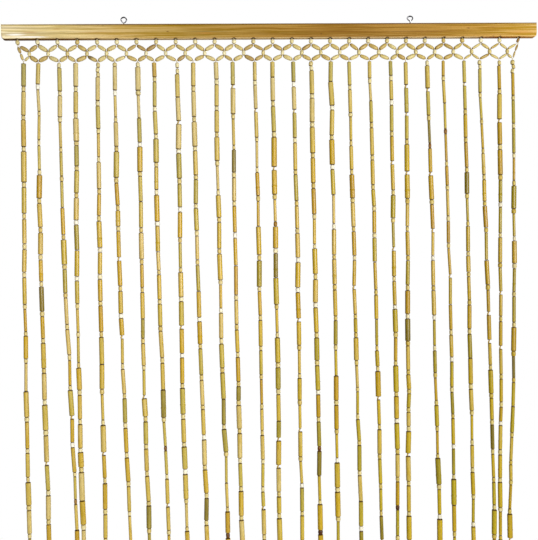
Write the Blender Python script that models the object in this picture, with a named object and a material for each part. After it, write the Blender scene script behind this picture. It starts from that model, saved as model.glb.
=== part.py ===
"""Bamboo bead door curtain on a wooden rail: a rail with two screw eyes, a band of bead netting
hung from 27 holes in the rail's underside, and 27 strands of bamboo tubes below it.
Metres, +Z up, +X along the rail to the viewer's right, +Y back to the wall. The origin is the
centre of the rail's back face. Run in Blender 4.5."""

import math
import random
from collections import namedtuple

import bmesh
import bpy
from mathutils import Vector

MM = 0.001
CLEARANCE = 0.3 * MM

# The rail is a planed batten, 24 by 12 mm, with its lower edges rounded over.
RAIL_LENGTH = 0.900
RAIL_DEPTH = 0.012
RAIL_HEIGHT = 0.024
RAIL_CORNER_RADIUS = 4.5 * MM
RAIL_LOWER_RADIUS = 2.0 * MM
RAIL_UPPER_BEVEL = 0.6 * MM
RAIL_TOP = RAIL_HEIGHT / 2
UNDERSIDE = -RAIL_HEIGHT / 2
MIDDLE_Y = -RAIL_DEPTH / 2

# One hole for each strand, drilled up from the underside; the cord ends are pegged in it.
STRANDS = 27
HOLE_PITCH = 32.46 * MM
HOLES_OFFSET = -3.0 * MM
HOLE_RADIUS = 3.0 * MM
HOLE_DEPTH = 9.0 * MM
HOLE_SIDES = 12

# Screw eyes in the rail's top edge, on its centre line.
EYE_LEFT_X = -0.250
EYE_RIGHT_X = 0.232
EYE_LEFT_RISE = 8.3 * MM
EYE_RIGHT_RISE = 9.1 * MM
EYE_OUTER_DIAMETER = 11.3 * MM
EYE_WIRE_DIAMETER = 1.7 * MM
EYE_SHANK_LENGTH = 11.0 * MM
EYE_LOOP_START = 255
EYE_LOOP_END = -58
EYE_LOOP_STEPS = 18

# Levels of the netting, as depths below the rail's underside.
RAIL_BEAD_TOP = 0.8 * MM
RAIL_BEAD_END = 8.4 * MM
FORK_DEPTH = 9.6 * MM
NODE_BEAD_TOP = 19.2 * MM
NODE_BEAD_END = 27.8 * MM
STRAND_FORK = 36.0 * MM
STRAND_START = 38.6 * MM
ROUND_BEAD_RADIUS = 3.1 * MM
CORD_RADIUS = 0.9 * MM
FORK_RADIUS = 1.2 * MM
RICE_RADIUS = 2.4 * MM
RICE_TAPER = 2.5 * MM

# At the two side edges the bars meet at a sharper angle, so their beads start further out.
EDGE_TAPER_ABOVE = 6.4 * MM
EDGE_TAPER_BELOW = 3.7 * MM
CHAIN_RADIUS = 2.0 * MM
CHAIN_TAPER_ABOVE = 5.3 * MM

# Strands: tubes and spacer beads, one tube and one bead to each pitch. A strand's solid has one
# level at every second joint between tubes.
TOTAL_DROP = 1.800
TUBE_PITCH = 48.3 * MM
TUBES_TO_A_LEVEL = 2
STRAND_END = TOTAL_DROP - RAIL_HEIGHT
END_BEAD_LENGTH = 8.0 * MM
END_BEAD_RADIUS = 2.6 * MM
LENGTH_SPREAD = 4.0 * MM
GIRTH_SPREAD = 0.16
SWAY_DEPTH = 1.3 * MM
SIGHT_DEPTHS = (STRAND_FORK, 0.290, 0.590, 0.840, STRAND_END)

# One row for each strand, in millimetres: how far along the rail its fork hangs, where the strand
# is at the depths of SIGHT_DEPTHS below that, the depth of its first joint, and its mean girth.
Strand = namedtuple("Strand", "hang upper middle lower end joint girth")
STRAND_TABLE = [
    Strand(-416, -422, -426, -427, -427, 81, 7.4),
    Strand(-392, -396, -396, -395, -397, 78, 7.0),
    Strand(-358, -359, -354, -349, -352, 89, 7.2),
    Strand(-331, -336, -339, -338, -335, 82, 7.6),
    Strand(-295, -299, -301, -301, -302, 106, 7.2),
    Strand(-267, -268, -265, -260, -262, 89, 7.0),
    Strand(-229, -230, -231, -228, -229, 89, 7.2),
    Strand(-202, -203, -200, -196, -198, 67, 7.0),
    Strand(-164, -165, -167, -165, -166, 97, 7.6),
    Strand(-137, -137, -135, -131, -133, 83, 7.2),
    Strand(-99, -100, -99, -96, -98, 72, 7.4),
    Strand(-71, -73, -73, -72, -72, 80, 7.0),
    Strand(-34, -33, -34, -35, -34, 74, 6.4),
    Strand(-4, -5, -6, -8, -7, 65, 7.4),
    Strand(31, 32, 31, 31, 32, 77, 7.0),
    Strand(62, 61, 62, 62, 62, 97, 7.6),
    Strand(95, 95, 94, 92, 93, 73, 7.4),
    Strand(126, 128, 130, 132, 130, 83, 6.8),
    Strand(161, 164, 166, 167, 166, 72, 6.6),
    Strand(197, 197, 197, 196, 197, 68, 6.8),
    Strand(223, 222, 218, 215, 217, 82, 7.4),
    Strand(260, 264, 266, 269, 268, 88, 6.8),
    Strand(288, 292, 294, 294, 294, 69, 6.0),
    Strand(324, 326, 327, 328, 328, 79, 6.8),
    Strand(351, 357, 362, 365, 363, 98, 6.4),
    Strand(385, 384, 380, 375, 377, 92, 6.8),
    Strand(409, 408, 402, 392, 395, 103, 6.0),
]

COLOURS = {
    "rail": (0.52, 0.32, 0.10, 1.0),
    "bamboo": (0.58, 0.42, 0.17, 1.0),
    "steel": (0.45, 0.46, 0.48, 1.0),
}
FINISHES = {"rail": (0.35, 0.0), "bamboo": (0.45, 0.0), "steel": (0.25, 1.0)}

# A level of a bar or strand: its centre and the half width of its four-sided section there.
Level = namedtuple("Level", "centre radius")


def clear_scene():
    for obj in list(bpy.data.objects):
        bpy.data.objects.remove(obj, do_unlink=True)


def finish(name):
    material = bpy.data.materials.new(name)
    material.use_nodes = True
    shader = material.node_tree.nodes["Principled BSDF"]
    shader.inputs["Base Color"].default_value = COLOURS[name]
    shader.inputs["Roughness"].default_value, shader.inputs["Metallic"].default_value = FINISHES[name]
    return material


def add_mesh(name, mesh_builder, material=None):
    """A new object whose mesh is what the bmesh holds, with its normals facing out."""
    bmesh.ops.recalc_face_normals(mesh_builder, faces=mesh_builder.faces)
    mesh = bpy.data.meshes.new(name)
    mesh_builder.to_mesh(mesh)
    mesh_builder.free()
    obj = bpy.data.objects.new(name, mesh)
    bpy.context.scene.collection.objects.link(obj)
    if material:
        mesh.materials.append(material)
    return obj


def hole_x(index):
    """The place along the rail of a string hole, counted from the left."""
    return HOLES_OFFSET + HOLE_PITCH * (index - (STRANDS - 1) / 2)


def edges_where(mesh_builder, test):
    """The edges whose two ends both pass the test."""
    return [e for e in mesh_builder.edges if all(test(v.co) for v in e.verts)]


def round_over(mesh_builder, edges, radius, steps):
    bmesh.ops.bevel(mesh_builder, geom=edges, offset=radius, segments=steps, profile=0.5,
                    affect="EDGES")


def rail_body():
    """The batten: its two lower corners cut round, then its lower front edge rounded over from
    end to end, and the rest of the front's outline just broken."""
    half, near = RAIL_LENGTH / 2, 0.01 * MM
    body = bmesh.new()
    bmesh.ops.create_cube(body, size=1.0)
    bmesh.ops.scale(body, vec=(RAIL_LENGTH, RAIL_DEPTH, RAIL_HEIGHT), verts=body.verts)
    bmesh.ops.translate(body, vec=(0, MIDDLE_Y, 0), verts=body.verts)
    for side in (-1, 1):
        corner = edges_where(body, lambda co: co.z < 0 and co.x * side > half - near)
        round_over(body, corner, RAIL_CORNER_RADIUS, 4)
    front = -RAIL_DEPTH + near
    lower = edges_where(body, lambda co: co.y < front and co.z < 0)
    round_over(body, lower, RAIL_LOWER_RADIUS, 3)
    rest = edges_where(body, lambda co: co.y < front and co.z > RAIL_TOP - near)
    for side in (-1, 1):
        rest += edges_where(body, lambda co: co.y < front and co.x * side > half - near)
    round_over(body, rest, RAIL_UPPER_BEVEL, 1)
    return body


def add_bore(cutter, x, z_low, z_high, radius):
    """One upright drill hole on the rail's centre line, as a closed cylinder in the cutter."""
    made = bmesh.ops.create_cone(cutter, cap_ends=True, segments=HOLE_SIDES, radius1=radius,
                                 radius2=radius, depth=z_high - z_low)
    bmesh.ops.translate(cutter, vec=(x, MIDDLE_Y, (z_low + z_high) / 2), verts=made["verts"])


def build_rail(material):
    rail = add_mesh("rail", rail_body(), material)
    cutter = bmesh.new()
    for index in range(STRANDS):
        add_bore(cutter, hole_x(index), UNDERSIDE - 2 * MM, UNDERSIDE + HOLE_DEPTH, HOLE_RADIUS)
    pilot = EYE_WIRE_DIAMETER / 2 + CLEARANCE
    for x in (EYE_LEFT_X, EYE_RIGHT_X):
        add_bore(cutter, x, RAIL_TOP - EYE_SHANK_LENGTH - CLEARANCE, RAIL_TOP + 2 * MM, pilot)
    drills = add_mesh("rail_drills", cutter)
    drills.hide_render = True
    drills.display_type = "WIRE"
    bores = rail.modifiers.new("bores", "BOOLEAN")
    bores.operation = "DIFFERENCE"
    bores.object = drills


def build_screw_eye(name, x, rise, material):
    """A wire shank that turns into a nearly closed loop facing the front."""
    loop_radius = (EYE_OUTER_DIAMETER - EYE_WIRE_DIAMETER) / 2
    centre_z = RAIL_TOP + rise
    route = [(x, centre_z - rise - EYE_SHANK_LENGTH), (x, centre_z - loop_radius - 1.6 * MM),
             (x - 0.15 * MM, centre_z - loop_radius - 0.7 * MM)]
    turn = (EYE_LOOP_END - EYE_LOOP_START) / EYE_LOOP_STEPS
    for step in range(EYE_LOOP_STEPS + 1):
        angle = math.radians(EYE_LOOP_START + turn * step)
        route.append((x + loop_radius * math.cos(angle), centre_z + loop_radius * math.sin(angle)))
    curve = bpy.data.curves.new(name, "CURVE")
    curve.dimensions = "3D"
    curve.bevel_depth = EYE_WIRE_DIAMETER / 2
    curve.bevel_resolution = 2
    curve.use_fill_caps = True
    spline = curve.splines.new("POLY")
    spline.points.add(len(route) - 1)
    for point, (px, pz) in zip(spline.points, route):
        point.co = (px, MIDDLE_Y, pz, 1.0)
    curve.materials.append(material)
    eye = bpy.data.objects.new(name, curve)
    bpy.context.scene.collection.objects.link(eye)


def smooth_value(depths, values, depth):
    """A cubic through the values at the given depths, with no kink at them."""
    slopes = []
    for i in range(len(depths)):
        low, high = max(i - 1, 0), min(i + 1, len(depths) - 1)
        slopes.append((values[high] - values[low]) / (depths[high] - depths[low]))
    i = max(k for k in range(len(depths) - 1) if depths[k] <= depth or k == 0)
    span = depths[i + 1] - depths[i]
    t = (depth - depths[i]) / span
    return ((1 + 2 * t) * (1 - t) ** 2 * values[i] + t * (1 - t) ** 2 * span * slopes[i]
            + t * t * (3 - 2 * t) * values[i + 1] + t * t * (t - 1) * span * slopes[i + 1])


def strand_levels(row, chance):
    """The levels of one strand from its first item down to its end bead."""
    spots = [value * MM for value in (row.hang, row.upper, row.middle, row.lower, row.end)]
    sway = chance.uniform(-SWAY_DEPTH, SWAY_DEPTH)
    end = STRAND_END - chance.uniform(0, LENGTH_SPREAD)
    last_tube = end - END_BEAD_LENGTH
    joint = row.joint * MM
    spans = round((last_tube - joint) / TUBE_PITCH / TUBES_TO_A_LEVEL)
    depths = [STRAND_START] + [joint + (last_tube - joint) * k / spans for k in range(spans + 1)]
    levels = []
    for depth in depths:
        girth = row.girth * MM * (1 + chance.uniform(-GIRTH_SPREAD, GIRTH_SPREAD))
        y = MIDDLE_Y + sway * math.sin(math.pi * depth / end)
        levels.append(Level(Vector((smooth_value(SIGHT_DEPTHS, spots, depth), y,
                                    UNDERSIDE - depth)), girth / 2))
    tip = Vector((spots[-1], MIDDLE_Y, UNDERSIDE - end))
    return levels + [Level(tip, END_BEAD_RADIUS)]


def net_point(x, depth):
    return Vector((x, MIDDLE_Y, UNDERSIDE - depth))


def rice_levels(start, end, start_taper=RICE_TAPER, end_taper=RICE_TAPER, radius=RICE_RADIUS):
    """The two ends of a rice bead's full width, on the bar from one fork to the next."""
    length = (end - start).length
    return [Level(start.lerp(end, start_taper / length), radius),
            Level(end.lerp(start, end_taper / length), radius)]


def hanging_cord(x):
    """The bead under a string hole and the cord above it, from the fork up to the hole's end."""
    return [Level(net_point(x, RAIL_BEAD_END), ROUND_BEAD_RADIUS),
            Level(net_point(x, RAIL_BEAD_TOP), ROUND_BEAD_RADIUS),
            Level(net_point(x, RAIL_BEAD_TOP - 0.4 * MM), CORD_RADIUS),
            Level(net_point(x, CLEARANCE - HOLE_DEPTH), CORD_RADIUS)]


def side_chain(start, end):
    """The two rice beads that run straight down each side edge, from the rail to the strand."""
    middle = start.lerp(end, 0.5)
    return (rice_levels(start, middle, start_taper=CHAIN_TAPER_ABOVE, radius=CHAIN_RADIUS)
            + [Level(middle, FORK_RADIUS)]
            + rice_levels(middle, end, end_taper=EDGE_TAPER_BELOW, radius=CHAIN_RADIUS))


def netting():
    """The forks of the netting and the bars between them. A bar is the names of its two ends and
    its levels in between; a bar whose second end is None stops at its last level."""
    chance = random.Random(27)
    last = STRANDS - 1
    hangs = [row.hang * MM for row in STRAND_TABLE]
    forks, bars = {}, []
    for i, row in enumerate(STRAND_TABLE):
        forks["upper", i] = net_point(hole_x(i), FORK_DEPTH)
        forks["lower", i] = net_point(hangs[i], STRAND_FORK)
        bars.append((("upper", i), None, hanging_cord(hole_x(i))))
        bars.append((("lower", i), None, strand_levels(row, chance)))
    for i in range(last):
        x = (hole_x(i) + hole_x(i + 1) + hangs[i] + hangs[i + 1]) / 4
        head, foot = ("head", i), ("foot", i)
        forks[head], forks[foot] = net_point(x, NODE_BEAD_TOP), net_point(x, NODE_BEAD_END)
        waist = net_point(x, (NODE_BEAD_TOP + NODE_BEAD_END) / 2)
        bars.append((head, foot, [Level(waist, ROUND_BEAD_RADIUS)]))
        for side in (i, i + 1):
            outer = side in (0, last)
            above = EDGE_TAPER_ABOVE if outer else RICE_TAPER
            below = EDGE_TAPER_BELOW if outer else RICE_TAPER
            upper, lower = ("upper", side), ("lower", side)
            bars.append((upper, head, rice_levels(forks[upper], forks[head], start_taper=above)))
            bars.append((foot, lower, rice_levels(forks[foot], forks[lower], end_taper=below)))
    for i in (0, last):
        upper, lower = ("upper", i), ("lower", i)
        bars.append((upper, lower, side_chain(forks[upper], forks[lower])))
    return forks, bars


def turned_left(direction):
    """The direction turned a quarter round to its left, as seen from the front."""
    return Vector((-direction.z, 0, direction.x))


def flat_direction(start, end):
    return Vector((end.x - start.x, 0, end.z - start.z)).normalized()


class SolidNet:
    """One closed mesh of four-sided bars that meet at forks: every bar has a ridge in front, one
    behind and one on each side, and at a fork two neighbouring bars share the side point."""

    def __init__(self):
        self.mesh = bmesh.new()
        self.fork_points = {}
        self.fork_ridges = {}

    def ridge(self, centre, radius):
        """The front and back points of a section."""
        return (self.mesh.verts.new(centre - Vector((0, radius, 0))),
                self.mesh.verts.new(centre + Vector((0, radius, 0))))

    def open_fork(self, name, centre, arms):
        """arms lists (bar number, direction) of the bars that leave this fork."""
        self.fork_ridges[name] = self.ridge(centre, FORK_RADIUS)
        arms = sorted(arms, key=lambda arm: math.atan2(arm[1].z, arm[1].x))
        for (bar, here), (next_bar, there) in zip(arms, arms[1:] + arms[:1]):
            between = math.atan2(there.z, there.x) - math.atan2(here.z, here.x)
            between = between % (2 * math.pi)
            start = math.atan2(here.z, here.x) + between / 2
            reach = FORK_RADIUS / max(math.sin(between / 2), 0.5)
            point = self.mesh.verts.new(
                centre + Vector((math.cos(start), 0, math.sin(start))) * reach)
            self.fork_points[(name, bar, "left")] = point
            self.fork_points[(name, next_bar, "right")] = point

    def fork_section(self, name, bar, leaving):
        front, back = self.fork_ridges[name]
        left = self.fork_points[(name, bar, "left" if leaving else "right")]
        right = self.fork_points[(name, bar, "right" if leaving else "left")]
        return front, left, back, right

    def level_section(self, level, before, after):
        front, back = self.ridge(level.centre, level.radius)
        side = turned_left(flat_direction(before, after)) * level.radius
        return (front, self.mesh.verts.new(level.centre + side), back,
                self.mesh.verts.new(level.centre - side))

    def skin(self, sections):
        for near, far in zip(sections, sections[1:]):
            for k in range(4):
                self.mesh.faces.new((near[k], near[(k + 1) % 4], far[(k + 1) % 4], far[k]))

    def build(self, forks, bars):
        arms = {name: [] for name in forks}
        for number, (start, end, levels) in enumerate(bars):
            arms[start].append((number, flat_direction(forks[start], levels[0].centre)))
            if end is not None:
                arms[end].append((number, flat_direction(forks[end], levels[-1].centre)))
        for name, centre in forks.items():
            self.open_fork(name, centre, arms[name])
        for number, (start, end, levels) in enumerate(bars):
            centres = [forks[start]] + [level.centre for level in levels]
            centres.append(levels[-1].centre if end is None else forks[end])
            sections = [self.fork_section(start, number, True)]
            for k, level in enumerate(levels):
                sections.append(self.level_section(level, centres[k], centres[k + 2]))
            if end is None:
                self.mesh.faces.new(sections[-1])
            else:
                sections.append(self.fork_section(end, number, False))
            self.skin(sections)
        return self.mesh


def build_curtain(material):
    forks, bars = netting()
    add_mesh("curtain", SolidNet().build(forks, bars), material)


def main():
    clear_scene()
    build_rail(finish("rail"))
    steel = finish("steel")
    build_screw_eye("screw_eye_left", EYE_LEFT_X, EYE_LEFT_RISE, steel)
    build_screw_eye("screw_eye_right", EYE_RIGHT_X, EYE_RIGHT_RISE, steel)
    build_curtain(finish("bamboo"))


main()
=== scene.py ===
# %% [markdown]
# # A bamboo bead door curtain on its rail
#
# The real curtain hangs in a doorway from a planed batten with two screw eyes. Cords leave 27
# holes in the batten's underside, cross in a narrow band of diamond netting made of turned rice
# beads, and then hang free, threaded with cut bamboo tubes and small round beads.
#
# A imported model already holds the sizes, the places and the collision shapes. This notebook
# dresses it: it keeps the batten's solid, and stands real beads, tubes, cords and wire in the
# place of the plain solids. Everything is in metres, +X along the rail and +Z up.

# %% Load the frame
import math
import random
import re
from collections import namedtuple

import bpy
from mathutils import Matrix, Quaternion, Vector


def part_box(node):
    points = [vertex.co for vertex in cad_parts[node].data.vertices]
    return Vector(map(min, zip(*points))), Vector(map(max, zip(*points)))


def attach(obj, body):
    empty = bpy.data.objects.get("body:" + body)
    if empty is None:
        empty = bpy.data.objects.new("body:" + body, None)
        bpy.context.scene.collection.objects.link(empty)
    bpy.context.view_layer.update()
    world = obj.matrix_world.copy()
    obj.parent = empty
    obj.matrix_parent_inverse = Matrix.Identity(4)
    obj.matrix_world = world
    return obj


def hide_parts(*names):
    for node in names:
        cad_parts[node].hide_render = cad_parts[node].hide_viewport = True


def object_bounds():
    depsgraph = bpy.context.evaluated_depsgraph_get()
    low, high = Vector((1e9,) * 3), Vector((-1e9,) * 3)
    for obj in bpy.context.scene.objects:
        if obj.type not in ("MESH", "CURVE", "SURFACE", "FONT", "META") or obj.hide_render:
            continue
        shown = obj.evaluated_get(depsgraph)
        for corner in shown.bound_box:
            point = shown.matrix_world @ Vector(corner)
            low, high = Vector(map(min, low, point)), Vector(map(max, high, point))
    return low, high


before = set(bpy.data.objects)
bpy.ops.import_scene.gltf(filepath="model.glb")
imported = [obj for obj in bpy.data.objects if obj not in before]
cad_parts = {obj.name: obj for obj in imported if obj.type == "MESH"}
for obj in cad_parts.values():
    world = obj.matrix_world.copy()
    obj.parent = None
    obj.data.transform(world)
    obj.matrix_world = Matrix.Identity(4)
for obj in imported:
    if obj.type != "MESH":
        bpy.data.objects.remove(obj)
cad_low, cad_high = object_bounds()
rail_low, rail_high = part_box("rail")
MM = 0.001
MIDDLE_Y = (rail_low.y + rail_high.y) / 2
print("nodes:", sorted(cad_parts))
print("the model is", [round((high - low) / MM) for low, high in zip(cad_low, cad_high)], "mm")

# %% [markdown]
# ## The camera
#
# The curtain was seen from a little left of its middle and about 0.4 m below the rail, with the
# lens slightly turned and tilted. A camera can be placed by Euler angles, but its own three axes
# are easier to reason about: here they are worked out from yaw, pitch and roll, and become the
# columns of its matrix. The lens follows from the picture's height and the distance in pixels
# from the lens to the picture.

# %% The camera
PICTURE_HEIGHT = 540
LENS_TO_PICTURE = 833.2
SENSOR = 36.0
VIEWPOINT = Vector((-0.107, -1.412, -0.3716))
YAW, PITCH, ROLL = (math.radians(angle) for angle in (-3.66, -1.20, -1.20))


def add_object(name, data):
    """A new object of that name in the scene."""
    obj = bpy.data.objects.new(name, data)
    bpy.context.scene.collection.objects.link(obj)
    return obj


ahead = Vector((-math.sin(YAW) * math.cos(PITCH), math.cos(YAW) * math.cos(PITCH),
                math.sin(PITCH)))
level_right = Vector((math.cos(YAW), math.sin(YAW), 0))
level_up = level_right.cross(ahead)
right = math.cos(ROLL) * level_right + math.sin(ROLL) * level_up
up = math.cos(ROLL) * level_up - math.sin(ROLL) * level_right

camera = add_object("camera", bpy.data.cameras.new("camera"))
camera.data.sensor_width = SENSOR
camera.data.lens = LENS_TO_PICTURE / PICTURE_HEIGHT * SENSOR
camera.matrix_world = Matrix((right, up, -ahead)).transposed().to_4x4()
camera.matrix_world.translation = VIEWPOINT
bpy.context.scene.camera = camera
print(f"camera: {camera.data.lens:.1f} mm lens, {-VIEWPOINT.y:.2f} m in front of the wall side")

# %% [markdown]
# ## A tool for node trees
#
# Node trees are drawn with the mouse in most lessons. In a script they are easier to read when
# one call makes a node, sets it up and plugs in its inputs. A value that is itself a socket is
# linked, and anything else becomes the input's own value.

# %% One call for each node
FLOAT, INTEGER, VECTOR = "NodeSocketFloat", "NodeSocketInt", "NodeSocketVector"
GEOMETRY, MATERIAL = "NodeSocketGeometry", "NodeSocketMaterial"


def srgb(text):
    """A colour written as six hex digits, as the linear colour that a node wants."""
    parts = [int(text[i:i + 2], 16) / 255 for i in (0, 2, 4)]
    linear = [p / 12.92 if p <= 0.04045 else ((p + 0.055) / 1.055) ** 2.4 for p in parts]
    return (*linear, 1.0)


def plug(tree, socket, value):
    """Links one socket to an input, or sets the input's own value. Colours are hex digits."""
    if isinstance(value, bpy.types.NodeSocket):
        tree.links.new(value, socket)
    else:
        socket.default_value = srgb(value) if socket.type == "RGBA" else value


def put(tree, kind, plugs=None, **settings):
    """A new node of that kind. plugs gives its inputs by name or number: a socket or a value."""
    node = tree.nodes.new(kind)
    for name, value in settings.items():
        setattr(node, name, value)
    for key, value in (plugs or {}).items():
        plug(tree, node.inputs[key], value)
    return node


def out(tree, kind, plugs=None, **settings):
    """The first output of a new node of that kind."""
    return put(tree, kind, plugs, **settings).outputs[0]


def new_group(name, kind, inputs, output_types):
    """A node group, what it is given and what it puts out. inputs: a type and default for each."""
    group = bpy.data.node_groups.new(name, kind)
    for label, (socket_type, value) in inputs.items():
        socket = group.interface.new_socket(label, in_out="INPUT", socket_type=socket_type)
        if value is not None:
            socket.default_value = value
    for label, socket_type in output_types.items():
        group.interface.new_socket(label, in_out="OUTPUT", socket_type=socket_type)
    given, result = group.nodes.new("NodeGroupInput"), group.nodes.new("NodeGroupOutput")
    return group, given.outputs, result.inputs


print("node helpers ready")

# %% [markdown]
# Sums fill most of a node tree, so the commonest ones get short names. Each is still one node. A
# vector has to be taken apart before one of its parts can be used, and put together again.

# %% Sums with nodes


def math_of(tree, operation, *values, clamp=False):
    """The result of one Math node."""
    plugs = dict(enumerate(values))
    return out(tree, "ShaderNodeMath", plugs, operation=operation, use_clamp=clamp)


def plus(tree, first, second):
    return math_of(tree, "ADD", first, second)


def minus(tree, first, second):
    return math_of(tree, "SUBTRACT", first, second)


def times(tree, first, second):
    return math_of(tree, "MULTIPLY", first, second)


def between(tree, value, low, high, start, end):
    """value moved from the span low..high to the span start..end, and held there."""
    return out(tree, "ShaderNodeMapRange", {0: value, 1: low, 2: high, 3: start, 4: end})


def vector_of(tree, operation, *values):
    """The result of one Vector Math node: a vector, or a number for LENGTH."""
    node = put(tree, "ShaderNodeVectorMath", dict(enumerate(values)), operation=operation)
    return node.outputs[1 if operation == "LENGTH" else 0]


def parts_of(tree, vector):
    """The three parts of a vector."""
    return put(tree, "ShaderNodeSeparateXYZ", {0: vector}).outputs


def joined(tree, x, y, z=0.0):
    """A vector made of three parts."""
    return out(tree, "ShaderNodeCombineXYZ", {0: x, 1: y, 2: z})


print("sums ready")

# %% [markdown]
# ## Floor and light
#
# A product photograph of a thin curtain is lit softly from the front, so that each round tube
# shows a bright line with a darker edge on both sides. A uniform white sky would light those
# edges as much as the middle and make the tubes look flat. So the sky is white where the camera
# looks straight at it and dim as a light, and big area lights do the work: a key from the front
# right and a weaker one from the front left. A third lights the back, and is kept out of
# reflections, where it would give every tube a pale rim.

# %% Floor and light
FLOOR_BELOW = 0.06
FLOOR_REACH = 7.0
SKY_SEEN = 1.0
SKY_LIGHT = 0.11
Lamp = namedtuple("Lamp", "name place size watts mirrored")
LAMPS = [
    Lamp("key", (1.20, -2.50, -0.30), 0.6, 76, True),
    Lamp("fill", (-1.20, -2.40, -0.20), 1.0, 12, True),
    Lamp("back", (0.60, 2.60, 0.60), 1.6, 64, False),
]
AIM = Vector((0, 0, -0.45))


def cleared_tree(owner):
    """The empty node tree of a material or a world."""
    owner.use_nodes = True
    owner.node_tree.nodes.clear()
    return owner.node_tree


def white_when_seen(tree, lit, white_kind, output_kind):
    """The lit shader, but plain white to a ray that comes straight from the camera."""
    white = out(tree, white_kind, {"Color": "ffffff", "Strength": SKY_SEEN})
    seen = put(tree, "ShaderNodeLightPath").outputs["Is Camera Ray"]
    mix = out(tree, "ShaderNodeMixShader", {0: seen, 1: lit, 2: white})
    put(tree, output_kind, {"Surface": mix})


def stage_floor():
    z, reach = cad_low.z - FLOOR_BELOW, FLOOR_REACH
    mesh = bpy.data.meshes.new("floor")
    corners = [(-reach, -reach, z), (reach, -reach, z), (reach, reach, z), (-reach, reach, z)]
    mesh.from_pydata(corners, [], [(0, 1, 2, 3)])
    material = bpy.data.materials.new("pale floor")
    tree = cleared_tree(material)
    matt = out(tree, "ShaderNodeBsdfDiffuse", {"Color": "efeeea"})
    white_when_seen(tree, matt, "ShaderNodeEmission", "ShaderNodeOutputMaterial")
    mesh.materials.append(material)
    floor = add_object("floor", mesh)


def light_room():
    world = bpy.data.worlds.new("soft room")
    bpy.context.scene.world = world
    tree = cleared_tree(world)
    dim = out(tree, "ShaderNodeBackground", {"Color": "fffaf2", "Strength": SKY_LIGHT})
    white_when_seen(tree, dim, "ShaderNodeBackground", "ShaderNodeOutputWorld")
    for lamp in LAMPS:
        light = bpy.data.lights.new(lamp.name, "AREA")
        light.size, light.energy = lamp.size, lamp.watts
        holder = add_object(lamp.name, light)
        holder.visible_glossy = lamp.mirrored
        holder.location = lamp.place
        holder.rotation_mode = "QUATERNION"
        holder.rotation_quaternion = (AIM - holder.location).to_track_quat("-Z", "Y")


stage_floor()
light_room()
bpy.context.scene.view_settings.view_transform = "Standard"
print("floor", FLOOR_BELOW, "m below the beads,", len(LAMPS), "lamps")

# %% [markdown]
# ## Grain that follows the piece
#
# Wood, bamboo and reed all show long fibres. A noise texture gives them once its coordinates are
# squeezed across the fibre and stretched along it, so one shared node group serves every wooden
# material here. Its position comes from outside: object coordinates on the batten, and on a bead
# the bead's own coordinates, so that the grain turns with the bead. Shift moves each bead to
# another part of the noise, because no two beads are cut from the same place.

# %% Node group: grain


def grain_group():
    group, given, result = new_group("grain", "ShaderNodeTree", {
        "Position": (VECTOR, None), "Shift": (FLOAT, 0.0), "Across": (FLOAT, 6.0),
        "Along": (FLOAT, 1.0), "Fineness": (FLOAT, 3.5)}, {"Broad": FLOAT, "Fine": FLOAT})
    stretch = joined(group, given["Across"], given["Across"], given["Along"])
    scaled = vector_of(group, "MULTIPLY", given["Position"], stretch)
    apart = joined(group, *[given["Shift"]] * 3)
    spot = vector_of(group, "ADD", scaled, apart)
    broad = out(group, "ShaderNodeTexNoise", {"Vector": spot, "Scale": 1.0, "Detail": 3.0,
                                             "Roughness": 0.55, "Distortion": 0.15})
    fine = out(group, "ShaderNodeTexNoise", {"Vector": spot, "Scale": given["Fineness"],
                                            "Detail": 4.0, "Roughness": 0.7})
    plug(group, result["Broad"], broad)
    plug(group, result["Fine"], fine)
    return group


grain = grain_group()
print("node group:", grain.name)

# %% [markdown]
# ## Marks, wear and a painted highlight
#
# Natural pieces carry small dark marks: pores, tiny knots, the scar where a leaf grew. A second
# group makes them by comparing a noise with a limit, which leaves sparse islands. A third group
# finds the edges of a box from the distance to its faces, for the batten, whose rounded edges are
# painted paler than its faces: partly rubbed wear, partly a painted highlight.

# %% Node groups: flecks and box edges
FLECK_SHARPNESS = 14.0


def flecks_group():
    group, given, result = new_group("flecks", "ShaderNodeTree", {
        "Position": (VECTOR, None), "Shift": (FLOAT, 0.0), "Scale": (FLOAT, 4.0),
        "Limit": (FLOAT, 0.68)}, {"Mask": FLOAT})
    noise = out(group, "ShaderNodeTexNoise", {"Vector": given["Position"], "W": given["Shift"],
                                             "Scale": given["Scale"], "Detail": 2.0},
                noise_dimensions="4D")
    over = minus(group, noise, given["Limit"])
    plug(group, result["Mask"], math_of(group, "MULTIPLY", over, FLECK_SHARPNESS, clamp=True))
    return group


def box_edge_group():
    """Near two faces of the box at once, the mask is 1."""
    group, given, result = new_group("box edge", "ShaderNodeTree", {
        "Position": (VECTOR, None), "Half size": (VECTOR, None), "Width": (FLOAT, 0.001)},
        {"Mask": FLOAT})
    size = vector_of(group, "ABSOLUTE", given["Position"])
    inside = vector_of(group, "SUBTRACT", given["Half size"], size)
    near = [math_of(group, "SUBTRACT", 1.0,
                    math_of(group, "DIVIDE", part, given["Width"]), clamp=True)
            for part in parts_of(group, inside)]
    pairs = [times(group, near[i], near[(i + 1) % 3]) for i in range(3)]
    most = math_of(group, "MAXIMUM", math_of(group, "MAXIMUM", pairs[0], pairs[1]), pairs[2])
    plug(group, result["Mask"], most)
    return group


flecks, box_edge = flecks_group(), box_edge_group()
print("node groups:", flecks.name, "and", box_edge.name)

# %% [markdown]
# ## Building a material
#
# Each material keeps its own Principled shader and picks from the shared groups. A few small
# helpers keep the recipes short: one lays a colour over another where a value rises, one spreads
# a value over a row of colours, and one makes a colour richer or darker.

# %% Material helpers


def feed(tree, node, **plugs):
    """Plugs in a node's inputs by name. Underscores in the names stand for spaces."""
    for label, value in plugs.items():
        plug(tree, node.inputs[label.replace("_", " ")], value)
    return node


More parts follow.
